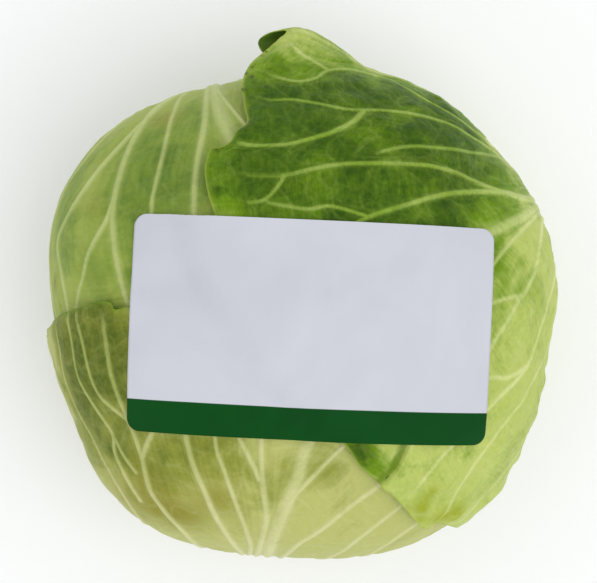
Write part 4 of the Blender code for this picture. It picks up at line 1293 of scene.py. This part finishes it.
innerLeaf = outerRelief | {
    "layer": "innerLift",
    "blade": 0.0007,
    "slot": "inner_leaf",
    "spacing": 0.0016,
    "rows": 40,
    "skip": 2,
    "ribHeight": 0.0008,
    "stalkHeight": 0.0030,
    "stalkHalfWidth": 0.0090,
    "stalkReach": 0.16,
    "ladderSpacing": 0.012,
    "pillow": 0.00035,
    "pucker": 0.00015,
    "puckerSize": 0.012,
    "edgeStand": 0.0002,
    "waveSize": 0.018,
    "fan": [  # degrees beside the midrib and elevation, on one side: the other side mirrors it
        ("rib", [(9, -75), (6, -45), (9, 0), (12, 40)]),
        ("rib", [(21, -75), (17, -45), (24, 0), (28, 34)]),
        ("plain", [(36, -75), (37, -45), (39, -5), (40, 24)]),
    ],
    "midrib": [(0, -75), (0, -45), (0, 0), (0, 43)],
    "veinHalfWidth": 0.0012,
    "greenest": (30, 0.035, 0.5),  # elevation, radius and strength of the tone on the midrib
    "azimuths": {"Right": -32, "Left": -164, "Back": 50},
}


# The midrib with the fan's lines turned to the azimuth, and their mirror images on its other side
def innerLines(azimuth):
    turned = [
        (kind, [(azimuth + way * side, up) for side, up in places])
        for way in (-1, 1)
        for kind, places in innerLeaf["fan"]
    ]
    count = len(innerLeaf["fan"])
    midrib = ("stalk", [(azimuth + side, up) for side, up in innerLeaf["midrib"]])
    return turned[:count][::-1] + [midrib] + turned[count:]


for order, (where, azimuth) in enumerate(innerLeaf["azimuths"].items()):
    lines = innerLines(azimuth)
    leaf = innerLeaf | {
        "name": "innerLeaf" + where,
        "node": "leaf_inner_" + where.lower(),
        "seed": 51 + order,
        "toneAndShade": [(azimuth, *innerLeaf["greenest"])],
        "veins": [(kind, innerLeaf["veinHalfWidth"], places) for kind, places in lines if kind != "plain"],
    }
    buildLeaf(leaf, LeafPlan(lines), [], innerLook)
print("inner leaves are in place")

heart = {
    "rows": 150,
    "segments": 220,
    "ribs": 9,
    "ribHeight": 0.0006,
    "ribSlant": 3.0,
    "lapHeight": 0.0005,  # each closed leaf ends in a small step over the next
    "laps": 3,
    "lapSlant": 2.2,
    "ribTop": 0.75,
    "ribRamp": 1.2,
    "lapRise": 0.93,  # the share of a leaf's turn over which it rises, and where it ends
    "lapEnd": 0.95,
    "unevenness": 0.0002,
    "unevenSize": 0.012,
    "seed": 71,
    "foot": 0.0143,  # flat underside on the stem
}
heartLook = innerLook | {
    "pale": paint(214, 216, 160),
    "middle": paint(200, 206, 140),
    "green": paint(184, 196, 118),
    "vein": paint(226, 226, 188),
    "foot": paint(226, 224, 186),
    "rim": paint(196, 208, 130),
    "streaks": 0.0,
    "streakiness": 0.0,
}


# The closed inner head: low ribs climb from the stem and three leaf edges wind over the top
def buildHeart():
    elevation = np.linspace(-90, 90, heart["rows"])[:, None] * np.ones(heart["segments"])
    azimuth = np.linspace(0, 360, heart["segments"], endpoint=False)[None, :] * np.ones((heart["rows"], 1))
    d = aim(azimuth, elevation)
    up = d[..., 2]
    fade = softStep((heart["ribTop"] - up) / heart["ribRamp"])
    waves = np.cos(heart["ribs"] * np.radians(azimuth) + heart["ribSlant"] * up) - 1
    turn = (np.radians(azimuth) * heart["laps"] / fullTurn + heart["lapSlant"] * up) % 1.0
    lap = softStep(turn / heart["lapRise"]) - softStep((turn - heart["lapEnd"]) / 0.05)
    lap = lap * softStep((1 - np.abs(up)) / 0.1)
    radius = heartRadius(d) + heart["ribHeight"] * fade * waves + heart["lapHeight"] * (lap - 1)
    radius -= heart["unevenness"] * (1 + swells(d * meanRadius, heart["unevenSize"], heart["seed"]))
    rings = d * radius[..., None]
    rings[..., 2] = np.maximum(rings[..., 2] + head["centreHeight"], heart["foot"])
    veins = fade * softStep((0.5 + 0.5 * waves + 0.5 - 0.8) / 0.2)
    masks = {"vein": veins, "bold": np.ones_like(fade), "foot": fade, "rim": softStep((lap - 0.9) / 0.1)}
    addPiece("heart", ringMesh("heart", rings, masks), leafMaterial("heart", heartLook), "heart")


stem = {
    "cone": 14.5,  # it narrows upwards between the leaf bases, as if to a point at the head's centre
    "faceRadius": 0.0162,
    "top": 0.0140,
    "edgeRise": 0.0004,
    "edge": 0.0008,
    "shoulder": 0.0020,
    "segments": 240,
    "faceRows": 26,
    "sideRows": 40,
    "topRows": 12,
    "flutes": 13,
    "fluteDepth": 0.00025,
    "scarHeight": 0.0065,
    "scarDepth": 0.0004,
    "scarWidth": 0.0008,
    "scarWave": 0.0015,
    "pithRadius": 0.0062,
    "pithSunk": 0.0006,
    "pithEase": 0.0012,
    "rays": 24,
    "rayHeight": 0.00012,
    "rayStart": 0.006,
    "rayEase": 0.003,
    "barkRadius": 0.0125,
    "barkEase": 0.0015,
    "sideEase": 0.0015,
    "bump": (0.5, 0.0002),
}


# A turned stump: its cut face is flat with a sunken pith, its side has flutes and the scars of cut leaves
def buildStem():
    slope = math.tan(math.radians(stem["cone"]))
    top, face, middle = stem["top"], stem["faceRadius"], head["centreHeight"]
    side = np.linspace(stem["shoulder"], top, stem["sideRows"])
    radii = [np.linspace(0, face, stem["faceRows"]), [face + 0.6 * stem["edge"], face + stem["edge"]]]
    radii += [(middle - side) * slope, np.linspace((middle - top) * slope * 0.97, 0, stem["topRows"])]
    heights = [np.zeros(stem["faceRows"]), [0.25 * stem["edgeRise"], stem["edgeRise"]]]
    heights += [side, np.full(stem["topRows"], top)]
    bearing = np.linspace(0, fullTurn, stem["segments"], endpoint=False)
    r, z = (np.concatenate(parts)[:, None] * np.ones(stem["segments"]) for parts in (radii, heights))
    onSide = softStep((z - 0.0006) / stem["sideEase"]) * softStep((top - z) / stem["sideEase"])
    flute = np.cos(stem["flutes"] * bearing + 9 * z / top)
    overScar = z - stem["scarHeight"] - stem["scarWave"] * np.sin(3 * bearing)
    scar = np.exp(-((overScar / stem["scarWidth"]) ** 2))
    r = r - onSide * (stem["fluteDepth"] * (1 - flute) + stem["scarDepth"] * scar)
    onFace = 1 - softStep((z - 0.00001) / 0.0001)
    pith = softStep((stem["pithRadius"] - r) / stem["pithEase"])
    rays = 0.5 + 0.5 * np.cos(stem["rays"] * bearing + 2.0 * np.sin(5 * bearing))
    raised = stem["rayHeight"] * rays * softStep((r - stem["rayStart"]) / stem["rayEase"])
    raised = raised * softStep((face - r) / 0.002)
    z = z + onFace * (stem["pithSunk"] * pith + raised)
    rings = np.stack([r * np.cos(bearing), r * np.sin(bearing), z], axis=-1)
    bark = onFace * softStep((r - stem["barkRadius"]) / stem["barkEase"])
    masks = {"pith": onFace * pith, "bark": bark, "rays": onFace * rays, "cutFace": onFace}
    addPiece("stem", ringMesh("stem", rings, masks), stemMaterial(), "stem")


# Cream cut face with a ring of fibres round a spongy pith, and a green side
def stemMaterial():
    material, w, shader = newMaterial("stem")
    place = w.places()[0]
    patches = w.group(mottle, {"Vector": place, "Coarse": 190.0, "Fine": 900.0}).outputs
    cells = w.group(cellNet, {"Vector": place, "Scale": 620.0}).outputs
    side = w.mix(patches["Patches"], paint(176, 190, 104), paint(198, 204, 132))
    side = w.over(side, paint(160, 166, 96), patches["Grain"], 0.4)
    cut = w.over(paint(222, 218, 170), paint(202, 200, 138), w.mask("rays"), 0.5)
    cut = w.mix(w.mask("pith"), cut, paint(232, 230, 200))
    cut = w.over(cut, paint(182, 190, 110), w.mask("bark"), 0.6)
    cut = w.over(cut, paint(178, 150, 98), patches["Patches"], 0.35)
    colour = w.mix(w.mask("cutFace"), side, cut)
    roughness = w.spanOf(patches["Grain"], 0.0, 1.0, 0.5, 0.7)
    height = w.plus(cells["Cushion"], w.times(patches["Grain"], 0.5))
    finishShader(w, shader, colour, roughness, height, stem["bump"], {})
    return material


# Height of the topmost outer face above the heart, eased down to the leaf below just past a free edge
def topLift(leaves, d):
    base = lift = layers["outerLift"]
    for leaf in leaves:
        lift = lift + (base + layers["step"] - lift) * coverOnGrid(leaf, d, label["ramp"])
        base = base + layers["step"] * coverOnGrid(leaf, d)
    return lift


# A sheet with round corners: rows are even, then at equal angles round the corner arcs.
# Each corner settles on to the leaves by a few rounds of reading the height under it.
def buildLabel(leaves):
    straight = label["depth"] / 2 - label["corner"]
    angles = np.radians(np.linspace(0, 90, label["cornerRows"] + 1)[1:])
    upper = straight + label["corner"] * np.sin(angles)
    y = np.concatenate([-upper[::-1], np.linspace(-straight, straight, label["rows"]), upper])[:, None]
    cut = label["corner"] * (1 - np.cos(angles))
    half = label["width"] / 2 - np.concatenate([cut[::-1], np.zeros(label["rows"]), cut])[:, None]
    x = half * np.linspace(-1, 1, label["columns"])
    y = y * np.ones(label["columns"])
    turn = math.radians(label["turn"])
    placeX = label["centre"][0] + x * math.cos(turn) - y * math.sin(turn)
    placeY = label["centre"][1] + x * math.sin(turn) + y * math.cos(turn)
    out = np.hypot(placeX, placeY)
    up = np.full_like(out, head["topHeight"])
    for _ in range(label["settlingSteps"]):
        d = unit(np.stack([placeX, placeY, up], axis=-1))
        up = np.sqrt((heartRadius(d) + topLift(leaves, d) - label["sunk"]) ** 2 - out**2)
    points = np.stack([placeX, placeY, up + head["centreHeight"]], axis=-1)
    points[..., 2] += label["sway"] * swells(points, label["swaySize"], label["seed"])
    outer = points + gridNormals(points) * label["thickness"]
    uv = np.stack([x / label["width"] + 0.5, y / label["depth"] + 0.5], axis=-1)
    addPiece("label", sheetMesh("label", outer, points, 1, uv, {}), labelMaterial(), "label")


# Blank satin paper with a plain green band along its lower side
def labelMaterial():
    material, w, shader = newMaterial("labelPaper")
    place, sheetMap = w.places()
    upSheet = w.node("ShaderNodeSeparateXYZ", {"Vector": sheetMap}).outputs["Y"]
    patches = w.group(mottle, {"Vector": place, "Coarse": 28.0, "Fine": 1500.0}).outputs
    paper = w.mix(patches["Patches"], paint(199, 201, 210), paint(206, 208, 217))
    paper = w.over(paper, paint(200, 202, 212), patches["Grain"], 0.25)
    ink = w.mix(patches["Patches"], paint(0, 64, 15), paint(4, 74, 21))
    ink = w.over(ink, paint(10, 84, 29), patches["Grain"], 0.2)
    banded = w.spanOf(upSheet, label["band"] - label["bandEdge"], label["band"] + label["bandEdge"], 1.0, 0.0)
    colour = w.mix(banded, paper, ink)
    roughness = w.spanOf(patches["Grain"], 0.0, 1.0, 0.55, 0.68)
    finishShader(w, shader, colour, roughness, patches["Grain"], label["bump"], {"Specular IOR Level": 0.1})
    return material


buildHeart()
buildStem()
buildLabel([upperLeftPlan, lowerPlan, rightPlan])
print("heart, stem and label are in place")

studio = {
    "floorSize": 6.0,
    "floorColour": paint(251, 252, 255),
    "floorRoughness": 0.9,
    "skyColour": (1.0, 1.0, 1.0, 1.0),
    "skyStrength": 0.84,
    "lightPlace": (0.95, -0.65, 3.1),
    "lightSize": 2.2,
    "lightPower": 29.0,
    "cameraDistance": 0.75,  # above the head's widest level
    "pictureWidth": 597,
    "pictureScale": 0.341e-3,  # metres in a picture element at that level
    "pictureMiddle": (-2.5, 22.5),  # in picture elements from the stem's axis
    "sensor": 36.0,
}


# A flat square, a square light turned to the head's centre, and an even white sky
def addStudio():
    half = studio["floorSize"] / 2
    mesh = bpy.data.meshes.new("floor")
    corners = [(-half, -half, 0), (half, -half, 0), (half, half, 0), (-half, half, 0)]
    mesh.from_pydata(corners, [], [(0, 1, 2, 3)])
    material, w, shader = newMaterial("floor")
    w.give(shader.inputs["Base Color"], studio["floorColour"])
    w.give(shader.inputs["Roughness"], studio["floorRoughness"])
    mesh.materials.append(material)
    linked("floor", mesh)
    data = bpy.data.lights.new("mainLight", "AREA")
    data.shape = "SQUARE"
    data.size = studio["lightSize"]
    data.energy = studio["lightPower"]
    light = linked("mainLight", data)
    light.location = studio["lightPlace"]
    toCentre = Vector((0.0, 0.0, head["centreHeight"])) - Vector(studio["lightPlace"])
    light.rotation_euler = toCentre.to_track_quat("-Z", "Y").to_euler()
    sky = bpy.data.worlds.new("studio")
    bpy.context.scene.world = sky
    sky.use_nodes = True
    sky.node_tree.nodes["Background"].inputs["Color"].default_value = studio["skyColour"]
    sky.node_tree.nodes["Background"].inputs["Strength"].default_value = studio["skyStrength"]
    bpy.context.scene.view_settings.view_transform = "Standard"


# A camera straight above: its lens is the sensor times the distance over the width that the picture shows
def addCamera():
    scale, distance = studio["pictureScale"], studio["cameraDistance"]
    data = bpy.data.cameras.new("camera")
    data.sensor_width = studio["sensor"]
    data.lens = studio["sensor"] * distance / (studio["pictureWidth"] * scale)
    camera = linked("camera", data)
    x, y = studio["pictureMiddle"]
    camera.location = (x * scale, y * scale, head["centreHeight"] + distance)
    bpy.context.scene.camera = camera


addStudio()
addCamera()
print("floor, light and camera are in place")
